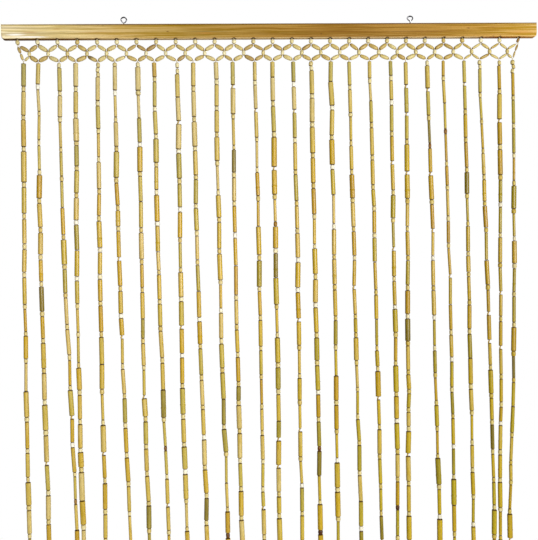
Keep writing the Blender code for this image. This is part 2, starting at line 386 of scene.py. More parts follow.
def new_material(name, **constants):
    """A material with its tree and shader. constants are set on the shader's own sockets."""
    material = bpy.data.materials.new(name)
    material.use_nodes = True
    tree = material.node_tree
    return material, tree, feed(tree, tree.nodes["Principled BSDF"], **constants)


def use(tree, group, **plugs):
    """The outputs of a placed node group."""
    return feed(tree, put(tree, "ShaderNodeGroup", node_tree=group), **plugs).outputs


def blend(tree, share, below, above, kind="MIX"):
    """below blended towards above by a share."""
    node = put(tree, "ShaderNodeMix", {"Factor": share, 6: below, 7: above}, data_type="RGBA",
               blend_type=kind)
    return node.outputs[2]


def veil(tree, below, above, value, low, high, share=1.0, kind="MIX"):
    """above laid over below, from nothing where value is low to that share where it is high."""
    return blend(tree, between(tree, value, low, high, 0.0, share), below, above, kind)


def spread(tree, value, stops):
    """A colour ramp over (place, colour) stops."""
    node = put(tree, "ShaderNodeValToRGB", {0: value})
    points = node.color_ramp.elements
    points[0].position, points[1].position = stops[0][0], stops[-1][0]
    points[0].color, points[1].color = srgb(stops[0][1]), srgb(stops[-1][1])
    for place, colour in stops[1:-1]:
        points.new(place).color = srgb(colour)
    return node.outputs["Color"]


def toned(tree, colour, richness, brightness, hue=0.5):
    """The colour with its saturation, its brightness and perhaps its hue changed."""
    return out(tree, "ShaderNodeHueSaturation", {"Color": colour, "Saturation": richness,
                                                "Value": brightness, "Hue": hue})


def bump_of(tree, height, strength, depth):
    """The normal of a surface with that height pressed into it."""
    return out(tree, "ShaderNodeBump", {"Height": height, "Strength": strength,
                                       "Distance": depth})


def attribute(tree, name, output="Fac"):
    """An attribute that is stored on the mesh."""
    return put(tree, "ShaderNodeAttribute", attribute_name=name).outputs[output]


def model_place(tree):
    return put(tree, "ShaderNodeTexCoord").outputs["Object"]


print("material helpers ready")

# %% [markdown]
# ## The batten's finish
#
# The rail is a strip of pale wood with a thin, satin varnish. Its grain runs from end to end in
# long, slightly wavy lines: broad bands a few millimetres high, and fine lines between them. It is
# pale at the left end, brownest past the middle and orange at the right end, and the paleness of
# the left end is partly painted light. The rounded top edge is a darker gold. The underside is
# painted pale, which is painted light from below, brown along its back edge, and dark with painted
# shade round each cord hole.
#
# What nobody could guess from a rule is listed: each row of MARKS is a place on the front face,
# half a length and half a height in millimetres, a colour, and how strongly it covers the wood.
# They are pin knots, dark and orange streaks, and a painted highlight: a white glare band low on
# the left end.

# %% The batten's marks and tones
Mark = namedtuple("Mark", "x z long high colour share")
MARKS = [
    # The first two rows are a painted highlight, a white glare band low on the left end.
    Mark(-427, -5.2, 20, 2.2, "fffaf0", 0.95), Mark(-402, -9.0, 34, 1.9, "fffaf0", 0.95),
    Mark(-404, -1.7, 16, 1.4, "b4762e", 0.5), Mark(-359, 3.9, 11, 1.1, "b06a20", 0.5),
    Mark(-300, -2.5, 40, 0.9, "c08238", 0.4), Mark(-110, -1.1, 48, 1.0, "6f5f38", 0.5),
    Mark(-116, -3.7, 20, 0.9, "c26a12", 0.45), Mark(110, -1.9, 100, 1.0, "744608", 0.5),
    Mark(265, -2.6, 80, 0.9, "7c4a10", 0.4), Mark(425, -4.0, 34, 4.0, "cc8a38", 0.40),
    Mark(-178, -0.9, 3.0, 1.1, "59320f", 0.8), Mark(79, -5.3, 2.4, 1.0, "59320f", 0.8),
    Mark(331, 3.0, 4.2, 1.3, "65360c", 0.7), Mark(373, 4.5, 14, 0.8, "8a4c18", 0.6),
    Mark(374, -10.6, 2.0, 0.9, "4a2408", 0.8), Mark(386, -9.8, 2.0, 1.0, "4a2408", 0.8),
    Mark(340, -11.2, 3.6, 0.8, "5c3410", 0.7), Mark(-284, 8.8, 2.4, 0.7, "6b4a1c", 0.6),
]
MARK_DEPTH = 6.0 * MM
MARK_CORE = 0.25
# The pale left end of the face's tones is partly painted light.
FACE_TONES_AND_LIGHT = [(0.0, "e2d3ac"), (0.10, "d8c48e"), (0.21, "bfa262"), (0.33, "a38438"),
              (0.47, "987318"), (0.62, "936a06"), (0.78, "986f06"), (0.90, "ae8628"),
              (1.0, "c2a058")]
# The pale middle of the underside's tones is painted light from below.
UNDERSIDE_TONES_AND_LIGHT = [(0.0, "4c2c06"), (0.12, "7e5218"), (0.22, "d8bc88"), (0.86, "dcc08c"),
                   (0.92, "8e5216"), (1.0, "c4904c")]
END_GRAIN = [(0.0, "96662a"), (1.0, "c49550")]
TOP_BAND = 2.6 * MM
BACK_BAND = 6.0 * MM
# The width of the paler edges: partly wear, partly a painted highlight.
EDGE_WEAR_AND_HIGHLIGHT_WIDTH = 1.0 * MM
# The sizes of the painted shade round each cord hole.
HOLE_RIM = 2.4 * MM
HOLE_RADIUS = 3.0 * MM
SHADE_RISE = 1.3 * MM
HOLE_PITCH = 32.46 * MM
HOLES_OFFSET = -3.0 * MM
GRAIN_WAVE = 2.2 * MM
print(len(MARKS), "marks on the batten")

# %% [markdown]
# A mark is drawn by distance. The way from its middle is divided by its half sizes, so that its
# length is 1 all along the mark's edge, and the colour fades out towards there. The painted shade
# round a hole, which stands for the dark inside it, is drawn in the same way, but the place along
# the rail is first folded back to the nearest hole, and one sum serves all 27.

# %% Marks and the painted shade round the holes


def add_marks(tree, position, surface, marks, y):
    """The wood or steel with every row of marks laid over it, at that depth of the model."""
    for mark in marks:
        away = vector_of(tree, "SUBTRACT", position, (mark.x * MM, y, mark.z * MM))
        scaled = vector_of(tree, "DIVIDE", away, (mark.long * MM, MARK_DEPTH, mark.high * MM))
        far = vector_of(tree, "LENGTH", scaled)
        here = between(tree, far, MARK_CORE, 1.0, mark.share, 0.0)
        surface = blend(tree, here, surface, mark.colour)
    return surface


def hole_shade(tree, parts, under):
    """Painted shade round the nearest cord hole: 1 at its rim, and where that shade runs over the
    front edge.
    """
    steps = math_of(tree, "DIVIDE", minus(tree, parts[0], HOLES_OFFSET), HOLE_PITCH)
    across = times(tree, minus(tree, steps, math_of(tree, "ROUND", steps)), HOLE_PITCH)
    away = vector_of(tree, "LENGTH", joined(tree, across, minus(tree, parts[1], MIDDLE_Y)))
    shaded_rim = between(tree, away, HOLE_RADIUS, HOLE_RADIUS + HOLE_RIM, 1.0, 0.0)
    rise = times(tree, minus(tree, parts[2], rail_low.z), HOLE_RADIUS / SHADE_RISE)
    away = vector_of(tree, "LENGTH", joined(tree, across, 0.0, rise))
    front = between(tree, away, 0.6 * HOLE_RADIUS, 1.15 * HOLE_RADIUS, 0.85, 0.0)
    return math_of(tree, "MAXIMUM", times(tree, shaded_rim, under), front)


print("stains every", round(HOLE_PITCH / MM, 2), "mm")

# %% [markdown]
# The finish is laid on as a painter would: the face, the underside with its painted light, the
# painted shade round the holes, the dark top edge, the end grain, and last the paler edges, partly
# wear and partly a painted highlight. The side that a face looks to tells which of them it gets.

# %% The batten's finish


def batten_grain(tree, parts):
    """The wood's bands and lines, on coordinates that wander a little up and down."""
    wander = out(tree, "ShaderNodeTexNoise", {"W": parts[0], "Scale": 9.0, "Detail": 1.0},
                 noise_dimensions="1D")
    wave = times(tree, minus(tree, wander, 0.5), GRAIN_WAVE * 2)
    turned = joined(tree, parts[1], plus(tree, parts[2], wave), parts[0])
    bands = use(tree, grain, Position=turned, Shift=3.7, Across=250.0, Along=3.0, Fineness=2.4)
    lines = use(tree, grain, Position=turned, Shift=9.1, Across=540.0, Along=8.0, Fineness=2.3)
    return bands, lines


def batten_front(tree, place, position, bands, lines):
    """The planed face: its tone from end to end, with a pale left end that is partly painted light,
    the grain over it, and the listed marks, among them a painted highlight.
    """
    face = spread(tree, place, FACE_TONES_AND_LIGHT)
    face = veil(tree, face, "b9a86a", bands["Broad"], 0.42, 0.62, 0.5, "SOFT_LIGHT")
    dark, pale = toned(tree, face, 1.16, 0.74, hue=0.497), toned(tree, face, 0.92, 1.20)
    wood = veil(tree, dark, pale, lines["Broad"], 0.44, 0.58)
    wood = veil(tree, wood, "8f6220", lines["Fine"], 0.56, 0.74, 0.4)
    wood = veil(tree, wood, "dcc07a", bands["Fine"], 0.56, 0.70, 0.25)
    return add_marks(tree, position, wood, MARKS, rail_low.y)


def batten_finish():
    material, tree, shader = new_material("varnished batten", Coat_Roughness=0.3, IOR=1.5,
                                          Specular_IOR_Level=0.14)
    texture = put(tree, "ShaderNodeTexCoord").outputs
    position = texture["Object"]
    parts, facing = parts_of(tree, position), parts_of(tree, texture["Normal"])
    bands, lines = batten_grain(tree, parts)
    place = between(tree, parts[0], rail_low.x, rail_high.x, 0.0, 1.0)
    wood = batten_front(tree, place, position, bands, lines)
    under = between(tree, facing[2], -0.9, -0.5, 1.0, 0.0)
    # The underside: its tones, with a pale middle that is painted light from below, and a brown
    # back edge.
    below = veil(tree, spread(tree, place, UNDERSIDE_TONES_AND_LIGHT), "7a4c14", parts[1],
                 rail_high.y - BACK_BAND, rail_high.y, 0.8)
    wood = blend(tree, under, wood, below)
    # Painted shade round each cord hole, for the dark inside it.
    wood = blend(tree, hole_shade(tree, parts, under), wood, "3a1c04")
    top = between(tree, parts[2], rail_high.z - TOP_BAND, rail_high.z - 0.5 * TOP_BAND, 0.0, 0.9)
    top = times(tree, top, between(tree, place, 0.03, 0.16, 0.3, 1.0))
    top = times(tree, top, between(tree, facing[2], 0.75, 0.95, 1.0, 0.0))
    wood = blend(tree, top, wood, "5e3c04")
    rings = put(tree, "ShaderNodeTexWave", {"Vector": position, "Scale": 260.0, "Distortion": 3.0,
                                           "Detail": 2.0}, wave_type="RINGS",
                rings_direction="X").outputs["Fac"]
    end_on = math_of(tree, "ABSOLUTE", facing[0])
    wood = veil(tree, wood, spread(tree, rings, END_GRAIN), end_on, 0.6, 0.9)
    middle = vector_of(tree, "SUBTRACT", position, (0.0, MIDDLE_Y, 0.0))
    half = (rail_high - rail_low) / 2
    # Paler rounded edges, partly rubbed wear and partly a painted highlight.
    edge_wear_and_highlight = use(tree, box_edge, Position=middle, Half_size=tuple(half), Width=EDGE_WEAR_AND_HIGHLIGHT_WIDTH)["Mask"]
    edge_wear_and_highlight = times(tree, edge_wear_and_highlight, between(tree, lines["Fine"], 0.35, 0.65, 0.0, 0.5))
    height = plus(tree, times(tree, lines["Fine"], 0.6), bands["Fine"])
    feed(tree, shader, Base_Color=blend(tree, edge_wear_and_highlight, wood, "efd6a0"),
         Roughness=between(tree, lines["Broad"], 0.3, 0.7, 0.52, 0.66),
         Coat_Weight=between(tree, edge_wear_and_highlight, 0.0, 0.5, 0.05, 0.01),
         Normal=bump_of(tree, height, 0.15, 0.4 * MM))
    return material


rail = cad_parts["rail"]
rail.data.materials.clear()
rail.data.materials.append(batten_finish())
print("rail finished with", len(MARKS), "marks")

# %% [markdown]
# ## Bamboo and beads
#
# The tubes are cut from thin cane, and their colour changes from tube to tube: dark olive, olive,
# straw, pale, golden, amber. So one material serves all of them, and reads the tone of each tube
# from an attribute, the way a paint chart reads a number. Over that come the fibres, painted shade
# darkening each cut end where it meets the next bead, dry grey blotches and sparse flecks. The
# round and rice beads are turned from a paler wood, and use the same recipe with their own chart
# and softer grain, and painted shade at their ends as well.

# %% The tones of bamboo and of turned beads
TONES = {"k": 0.02, "o": 0.18, "l": 0.34, "t": 0.50, "p": 0.64, "g": 0.80, "a": 0.97}
CANE_CHART = [(0.0, "857330"), (0.18, "ad9b4a"), (0.34, "bfa953"), (0.50, "caac54"),
              (0.64, "d2ba7a"), (0.80, "c5a23e"), (1.0, "bb9434")]
BEAD_CHART = [(0.0, "4a2410"), (0.12, "8f6128"), (0.35, "c6a75a"), (0.62, "dac687"),
              (0.85, "ecdfb4"), (1.0, "faf4e0")]
BEAD_MARKS = [Mark(-306.4, -42.4, 7.0, 5.0, "1c0600", 1.0)]
# The darkest painted shade, right at each cut end.
CUT_END_SHADE = (0.477, 0.491)
print(len(TONES), "tones of cane")

# %% [markdown]
# The whole curtain shifts its colour a little as well: it is duller and a touch greener near the
# rail, richer lower down, fades again towards the foot, and is deeper to the right. It is also
# painted darker to the right, most of all low down and less again at the foot: that darkening is
# painted shade. A change over the whole curtain reads the place in the model, and not the bead's
# own place. HIGH and LOW are two levels, in metres, and each pair of numbers is the amount at both
# of them.

# %% Colour and painted shade by the place in the curtain
HIGH, LOW, DARKEST = -0.04, -0.33, -0.45
FADE_FROM, FADE_TO = -0.42, -0.72
DEEPER_FROM, DEEPER_TO = -0.12, 0.42
BRIGHTNESS = 0.98
LOW_RICHNESS, HIGH_RICHNESS = 1.12, 0.92
LOW_GAIN, HIGH_GAIN = 0.25, 0.10
# How much darker the right of the curtain is painted, low and high: painted shade.
LOW_PAINTED_SHADE, HIGH_PAINTED_SHADE = 0.34, 0.08
LOW_HUE, HIGH_HUE = 0.499, 0.508
FADED_RICHNESS, FADED_PAINTED_SHADE, FADED_HUE = 0.08, 0.08, 0.006


def toned_by_place(tree, wood, position):
    """The wood's colour as it changes from the top of the curtain to its foot, and across it, with
    painted shade that darkens it to the right.
    """
    parts = parts_of(tree, position)
    deeper = between(tree, parts[0], DEEPER_FROM, DEEPER_TO, 0.0, 1.0)
    faded = between(tree, parts[2], FADE_TO, FADE_FROM, 1.0, 0.0)
    richness = plus(tree, between(tree, parts[2], LOW, HIGH, LOW_RICHNESS, HIGH_RICHNESS),
                    times(tree, deeper, between(tree, parts[2], LOW, HIGH, LOW_GAIN, HIGH_GAIN)))
    richness = minus(tree, richness, times(tree, faded, FADED_RICHNESS))
    # Painted shade: how much darker the wood is painted towards the right, at each height.
    painted_shade = minus(tree, between(tree, parts[2], DARKEST, HIGH, LOW_PAINTED_SHADE, HIGH_PAINTED_SHADE),
                 times(tree, faded, FADED_PAINTED_SHADE))
    brightness = minus(tree, BRIGHTNESS, times(tree, deeper, painted_shade))
    hue = plus(tree, between(tree, parts[2], LOW, HIGH, LOW_HUE, HIGH_HUE),
               times(tree, faded, FADED_HUE))
    return toned(tree, wood, richness, brightness, hue)


print("richest below", LOW, "m")

# %% [markdown]
# One recipe makes both finishes. Its tone picks a colour from the chart, a slow noise lets that
# colour drift inside a tube, and the fibres, blotches, flecks and the painted shade at the cut ends
# are laid over it.

# %% The finish of bamboo and of turned beads


def cane_finish(name, chart, across, along, shaded_rim, end_shade_colour, gloss, stains=()):
    """A small wooden piece that reads its tone and its own coordinates from attributes."""
    material, tree, shader = new_material(name, Coat_Weight=gloss, Coat_Roughness=0.25, IOR=1.5,
                                          Specular_IOR_Level=0.3)
    place, position = attribute(tree, "piece_place", "Vector"), model_place(tree)
    shift = attribute(tree, "shift")
    fibres = use(tree, grain, Position=place, Shift=shift, Across=across, Along=along,
                 Fineness=3.2)
    dull = use(tree, grain, Position=place, Shift=shift, Across=1.2, Along=1.5, Fineness=2.0)
    shade = times(tree, minus(tree, dull["Broad"], 0.5), 0.34)
    cane = spread(tree, plus(tree, attribute(tree, "tone"), shade), chart)
    dark = toned(tree, cane, 1.12, 0.62)
    cane = veil(tree, cane, dark, fibres["Broad"], 0.46, 0.70, 0.75)
    cane = veil(tree, cane, toned(tree, cane, 0.8, 1.22), fibres["Fine"], 0.50, 0.72, 0.65)
    cane = veil(tree, cane, dark, dull["Fine"], 0.54, 0.68, 0.5)
    cane = toned_by_place(tree, cane, position)
    marks = use(tree, flecks, Position=place, Shift=shift, Scale=2.3, Limit=0.68)["Mask"]
    cane = blend(tree, times(tree, marks, 0.55), cane, "5d3d17")
    from_middle = math_of(tree, "ABSOLUTE", parts_of(tree, place)[2])
    # Painted shade at both ends of the piece, where it meets the next bead.
    cane = veil(tree, cane, end_shade_colour, from_middle, shaded_rim, 0.5, 0.8)
    cane = veil(tree, cane, "4a2e08", from_middle, *CUT_END_SHADE, 0.85)
    cane = add_marks(tree, position, cane, stains, MIDDLE_Y)
    feed(tree, shader, Base_Color=cane,
         Roughness=between(tree, fibres["Fine"], 0.3, 0.7, 0.34, 0.56),
         Normal=bump_of(tree, fibres["Broad"], 0.3, 0.25 * MM))
    return material


cane_skin = cane_finish("cane tube", CANE_CHART, across=2.6, along=0.7, shaded_rim=0.462,
                        end_shade_colour="6a4714", gloss=0.30)
turned_wood = cane_finish("turned bead wood", BEAD_CHART, across=2.4, along=1.6, shaded_rim=0.36,
                          end_shade_colour="86602a", gloss=0.16, stains=BEAD_MARKS)
print("materials:", cane_skin.name, "and", turned_wood.name)

# %% [markdown]
# ## Cord and steel
#
# The cord is waxed cotton, laid from a few yarns. Its twist is a slanted stripe in the bump: the
# angle round the cord plus the length along it, both stored on the mesh when the cord is made.
# The screw eyes are zinc-plated wire, so they are metallic, with a faint mottle in the roughness.
# Bent wire looks dark and bright by turns, so its loops carry listed dark patches as well, which
# are painted reflection: they darken the steel where its reflections should be dark.

# %% Cord and steel
TWISTS_PER_METRE = 420.0
YARNS = 3.0
CORD_TONES = [(0.0, "b9a473"), (0.6, "ded0a6"), (1.0, "efe6c8")]
STEEL_TONES = [(0.3, "9a9ba2"), (0.7, "cccdd2")]
# Dark patches on the eyes' loops: painted reflection, where the bent wire should reflect dark.
EYE_DARK_REFLECTIONS = [
    Mark(-245.6, 19.6, 3.0, 4.4, "4c4c52", 0.9), Mark(-252.6, 22.8, 6.5, 4.6, "020202", 1.0),
    Mark(-247.2, 16.6, 2.6, 2.8, "020202", 1.0), Mark(231.2, 24.4, 8.0, 4.2, "06070a", 1.0),
    Mark(235.2, 18.4, 2.6, 2.4, "1c1212", 0.9), Mark(237.0, 21.6, 2.0, 2.0, "4a4340", 0.7),
]


def cord_finish():
    material, tree, shader = new_material("waxed cord", Roughness=0.72)
    parts = parts_of(tree, attribute(tree, "cord_place", "Vector"))
    angle = math_of(tree, "ARCTAN2", parts[1], parts[0])
    turn = plus(tree, times(tree, angle, YARNS),
                times(tree, parts[2], TWISTS_PER_METRE * 2 * math.pi))
    ridge = between(tree, math_of(tree, "SINE", turn), -1.0, 1.0, 0.0, 1.0)
    dust = use(tree, flecks, Position=model_place(tree), Shift=2.0, Scale=160.0,
               Limit=0.55)["Mask"]
    cotton = blend(tree, times(tree, dust, 0.35), spread(tree, ridge, CORD_TONES), "a58a52")
    feed(tree, shader, Base_Color=cotton, Normal=bump_of(tree, ridge, 0.8, 0.2 * MM))
    return material


def steel_finish():
    material, tree, shader = new_material("zinc-plated wire", Metallic=1.0)
    position = model_place(tree)
    mottle = use(tree, grain, Position=position, Shift=1.0, Across=900.0, Along=900.0,
                 Fineness=2.5)
    scale = use(tree, flecks, Position=position, Shift=5.0, Scale=700.0, Limit=0.6)["Mask"]
    steel = spread(tree, mottle["Broad"], STEEL_TONES)
    steel = blend(tree, times(tree, scale, 0.6), steel, "54524f")
    # The listed dark patches on the loops are painted reflection.
    feed(tree, shader, Base_Color=add_marks(tree, position, steel, EYE_DARK_REFLECTIONS, MIDDLE_Y),
         Roughness=between(tree, mottle["Fine"], 0.3, 0.7, 0.12, 0.26))
    return material


cotton, wire_steel = cord_finish(), steel_finish()
print("materials:", cotton.name, "and", wire_steel.name)

# %% [markdown]
# ## Beads as a Geometry Nodes tree
#
# Every bead and tube here is turned: a small outline swept round an axis, with a bore for the
# cord. There are about two thousand of them, so none is placed by hand. One tree makes a kind of
# bead and puts it on each point of a mesh. The outline's corners go in as an Index Switch, one
# corner for each point of a short line, which is then closed into a ring and swept round a tiny
# circle. Each point carries its bead's turn, size, tone and shift as attributes, and Realize
# Instances hands them on to the finished mesh, where the material reads them.
#
# A real tube is never quite round. After the instances are real, a noise pushes the surface in
# and out along its normal by a tenth of a millimetre or two.

# %% The tree that turns a bead and strings it
TURNING_CIRCLE = 1e-4


def stored(tree, geometry, name, value, kind="FLOAT_VECTOR"):
    """The geometry with a value stored on its points under that name."""
    return out(tree, "GeometryNodeStoreNamedAttribute",
               {"Geometry": geometry, "Name": name, "Value": value}, data_type=kind,
               domain="POINT")


def named(tree, name, kind="FLOAT_VECTOR"):
    """The value that is stored under that name."""
    return out(tree, "GeometryNodeInputNamedAttribute", {"Name": name}, data_type=kind)


def turned_outline(tree, corners):
    """A closed curve through (radius, height) corners, as a profile for sweeping."""
    line = out(tree, "GeometryNodeMeshLine", {"Count": len(corners)})
    switch = put(tree, "GeometryNodeIndexSwitch", data_type="VECTOR")
    while len(switch.index_switch_items) < len(corners):
        switch.index_switch_items.new()
    plug(tree, switch.inputs["Index"], out(tree, "GeometryNodeInputIndex"))
    for i, (radius, height) in enumerate(corners):
        switch.inputs[i + 1].default_value = (TURNING_CIRCLE - radius, height, 0)
    placed = out(tree, "GeometryNodeSetPosition", {"Geometry": line,
                                                  "Position": switch.outputs[0]})
    curve = out(tree, "GeometryNodeMeshToCurve", {"Mesh": placed})
    return out(tree, "GeometryNodeSetSplineCyclic", {"Geometry": curve, "Cyclic": True})


def turned_bead(tree, outline, sides, sharp_degrees):
    """The outline swept round, smooth but for its sharp edges, and marked with its own places."""
    circle = out(tree, "GeometryNodeCurvePrimitiveCircle",
                 {"Resolution": sides, "Radius": TURNING_CIRCLE})
    bead = out(tree, "GeometryNodeCurveToMesh", {"Curve": circle, "Profile Curve": outline})
    smooth = out(tree, "GeometryNodeSetShadeSmooth", {"Geometry": bead, "Shade Smooth": True},
                 domain="FACE")
    angle = out(tree, "GeometryNodeInputMeshEdgeAngle")
    sharp = out(tree, "FunctionNodeCompare", {0: angle, 1: math.radians(sharp_degrees)},
                data_type="FLOAT", operation="GREATER_THAN")
    creased = out(tree, "GeometryNodeSetShadeSmooth",
                  {"Geometry": smooth, "Selection": sharp, "Shade Smooth": False}, domain="EDGE")
    return stored(tree, creased, "piece_place", out(tree, "GeometryNodeInputPosition"))


def bead_tree(name, corners, sharp_degrees):
    tree, given, result = new_group(name, "GeometryNodeTree", {
        "Points": (GEOMETRY, None), "Sides": (INTEGER, 10), "Unevenness": (FLOAT, 0.0001),
        "Lump size": (FLOAT, 0.006), "Seed": (FLOAT, 1.0), "Material": (MATERIAL, None)},
        {"Beads": GEOMETRY})
    bead = turned_bead(tree, turned_outline(tree, corners), given["Sides"], sharp_degrees)
    strung = out(tree, "GeometryNodeInstanceOnPoints",
                 {"Points": given["Points"], "Instance": bead, "Rotation": named(tree, "turn"),
                  "Scale": named(tree, "size")})
    real = out(tree, "GeometryNodeRealizeInstances", {"Geometry": strung})
    lumps = out(tree, "ShaderNodeTexNoise",
                {"Vector": out(tree, "GeometryNodeInputPosition"), "W": given["Seed"],
                 "Scale": math_of(tree, "DIVIDE", 1.0, given["Lump size"]), "Detail": 0.0},
                noise_dimensions="4D")
    push = times(tree, minus(tree, lumps, 0.5), times(tree, given["Unevenness"], 2.0))
    offset = out(tree, "ShaderNodeVectorMath",
                 {0: out(tree, "GeometryNodeInputNormal"), "Scale": push}, operation="SCALE")
    uneven = out(tree, "GeometryNodeSetPosition", {"Geometry": real, "Offset": offset})
    dressed = out(tree, "GeometryNodeSetMaterial",
                  {"Geometry": uneven, "Material": given["Material"]})
    plug(tree, result["Beads"], dressed)
    return tree


def swelling(steps, end, power=1.0):
    """Corners along a bead whose radius swells from end to 1 in the middle and back."""
    heights = [i / steps - 0.5 for i in range(steps + 1)]
    return [(end + (1 - end) * math.cos(math.pi * h) ** power if abs(h) < 0.5 else end, h)
            for h in heights]


def bored(corners, bore):
    """The corners with the bore's two ends added, so that the outline closes through the hole."""
    return [(bore, corners[0][1])] + corners + [(bore, corners[-1][1])]


print("the widest swelling corner:", max(swelling(6, 0.4)))

# %% [markdown]
# Five outlines serve the whole curtain. A cut tube has straight walls, a broken edge and a wide
# bore, and some tubes keep the low ridge of a cane joint. The small round bead between tubes is a
# short barrel, the bead at each crossing of the netting a rounder one, and the rice bead a
# spindle.

# %% The five kinds of bead
TUBE_BORE = 0.46
TUBE_SHARP, BEAD_SHARP = 50, 60
CUT_TUBE = [(0.87, -0.5), (1.0, -0.484), (1.0, 0.484), (0.87, 0.5)]
CANE_JOINT = [(0.99, 0.12), (1.10, 0.15), (1.03, 0.18), (1.0, 0.21)]
JOINTED_TUBE = CUT_TUBE[:2] + CANE_JOINT + CUT_TUBE[2:]
tube_tree = bead_tree("cut tubes on points", bored(CUT_TUBE, TUBE_BORE), TUBE_SHARP)
jointed_tree = bead_tree("jointed tubes on points", bored(JOINTED_TUBE, TUBE_BORE), TUBE_SHARP)
spacer_tree = bead_tree("round beads on points", bored(swelling(4, 0.80, 0.55), 0.30), BEAD_SHARP)
crossing_tree = bead_tree("crossing beads on points", bored(swelling(8, 0.52, 0.7), 0.28),
                          BEAD_SHARP)
rice_tree = bead_tree("rice beads on points", bored(swelling(8, 0.46, 0.42), 0.24), BEAD_SHARP)
print("trees:", [tree.name for tree in bpy.data.node_groups if tree.type == "GEOMETRY"])

# %% [markdown]
# A list of bead places becomes a mesh of loose points with attributes, the tree runs on it, and
# the evaluated result is kept as a plain mesh. Doing this in one helper keeps each later step to
# the places alone. A modifier's inputs are set by their identifiers, not by their names, and
# before the object is evaluated for the first time.

# %% From places to a mesh of beads
Bead = namedtuple("Bead", "place turn size tone")


def run_tree(obj, tree, values):
    """Runs the tree on obj and leaves the result as obj's plain mesh."""
    modifier = obj.modifiers.new(tree.name, "NODES")
    modifier.node_group = tree
    names = {item.name: item.identifier for item in tree.interface.items_tree
             if item.item_type == "SOCKET" and item.in_out == "INPUT"}
    for name, value in values.items():
        modifier[names[name]] = value
    graph = bpy.context.evaluated_depsgraph_get()
    mesh = bpy.data.meshes.new_from_object(obj.evaluated_get(graph))
    obj.modifiers.remove(modifier)
    mesh.name = obj.name
    obj.data = mesh


def store(mesh, name, kind, values):
    """Writes one attribute on the mesh's points."""
    layer = mesh.attributes.new(name, kind, "POINT")
    field = "vector" if kind == "FLOAT_VECTOR" else "value"
    flat = [part for value in values for part in value] if field == "vector" else values
    layer.data.foreach_set(field, flat)


def string_beads(name, beads, tree, material, sides, unevenness, lump_size, seed):
    """One object with a bead on every listed place. Every bead stands for the curtain."""
    mesh = bpy.data.meshes.new(name)
    mesh.from_pydata([bead.place for bead in beads], [], [])
    store(mesh, "turn", "FLOAT_VECTOR", [bead.turn for bead in beads])
    store(mesh, "size", "FLOAT_VECTOR", [bead.size for bead in beads])
    store(mesh, "tone", "FLOAT", [bead.tone for bead in beads])
    chance = random.Random(seed)
    store(mesh, "shift", "FLOAT", [chance.uniform(0, 90) for _ in beads])
    obj = add_object(name, mesh)
    run_tree(obj, tree, {"Sides": sides, "Unevenness": unevenness, "Lump size": lump_size,
                         "Seed": float(seed), "Material": material})
    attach(obj, "root")
    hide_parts("curtain")
    print(f"{name}: {len(beads)} beads, {len(obj.data.polygons)} faces")


def along_line(start, end, spin):
    """The Euler turn that points a bead's axis from start to end, spun about that axis."""
    turn = (end - start).to_track_quat("Z", "Y") @ Quaternion((0, 0, 1), spin)
    return tuple(turn.to_euler())


# %% [markdown]
# ## The strands, as a table
#
# A row for each strand, in millimetres: where along the rail its fork hangs, where the strand is
# at four depths further down, and its mean girth. The last column is the threader's chart of the
# first tubes, because these are what the eye falls on. Each word of it is one tube: the depth of
# the joint under it below the rail's underside; a letter for its tone (k dark olive, o olive,
# l straw green, t straw, p pale, g golden, a amber); T if it is thin or F if it is fat; and what is
# in the joint, if not a plain bead: w a bleached bead, d a dark one, c a slim sliver to the left of
# the cord that stands in, as painted shade, for the shaded edge of a pale bead lost in the light,
# and a dot where the next tube sits straight on this one. Below its chart a strand goes on at
# random, as such curtains are threaded, at the mean pitch of one tube and one bead.

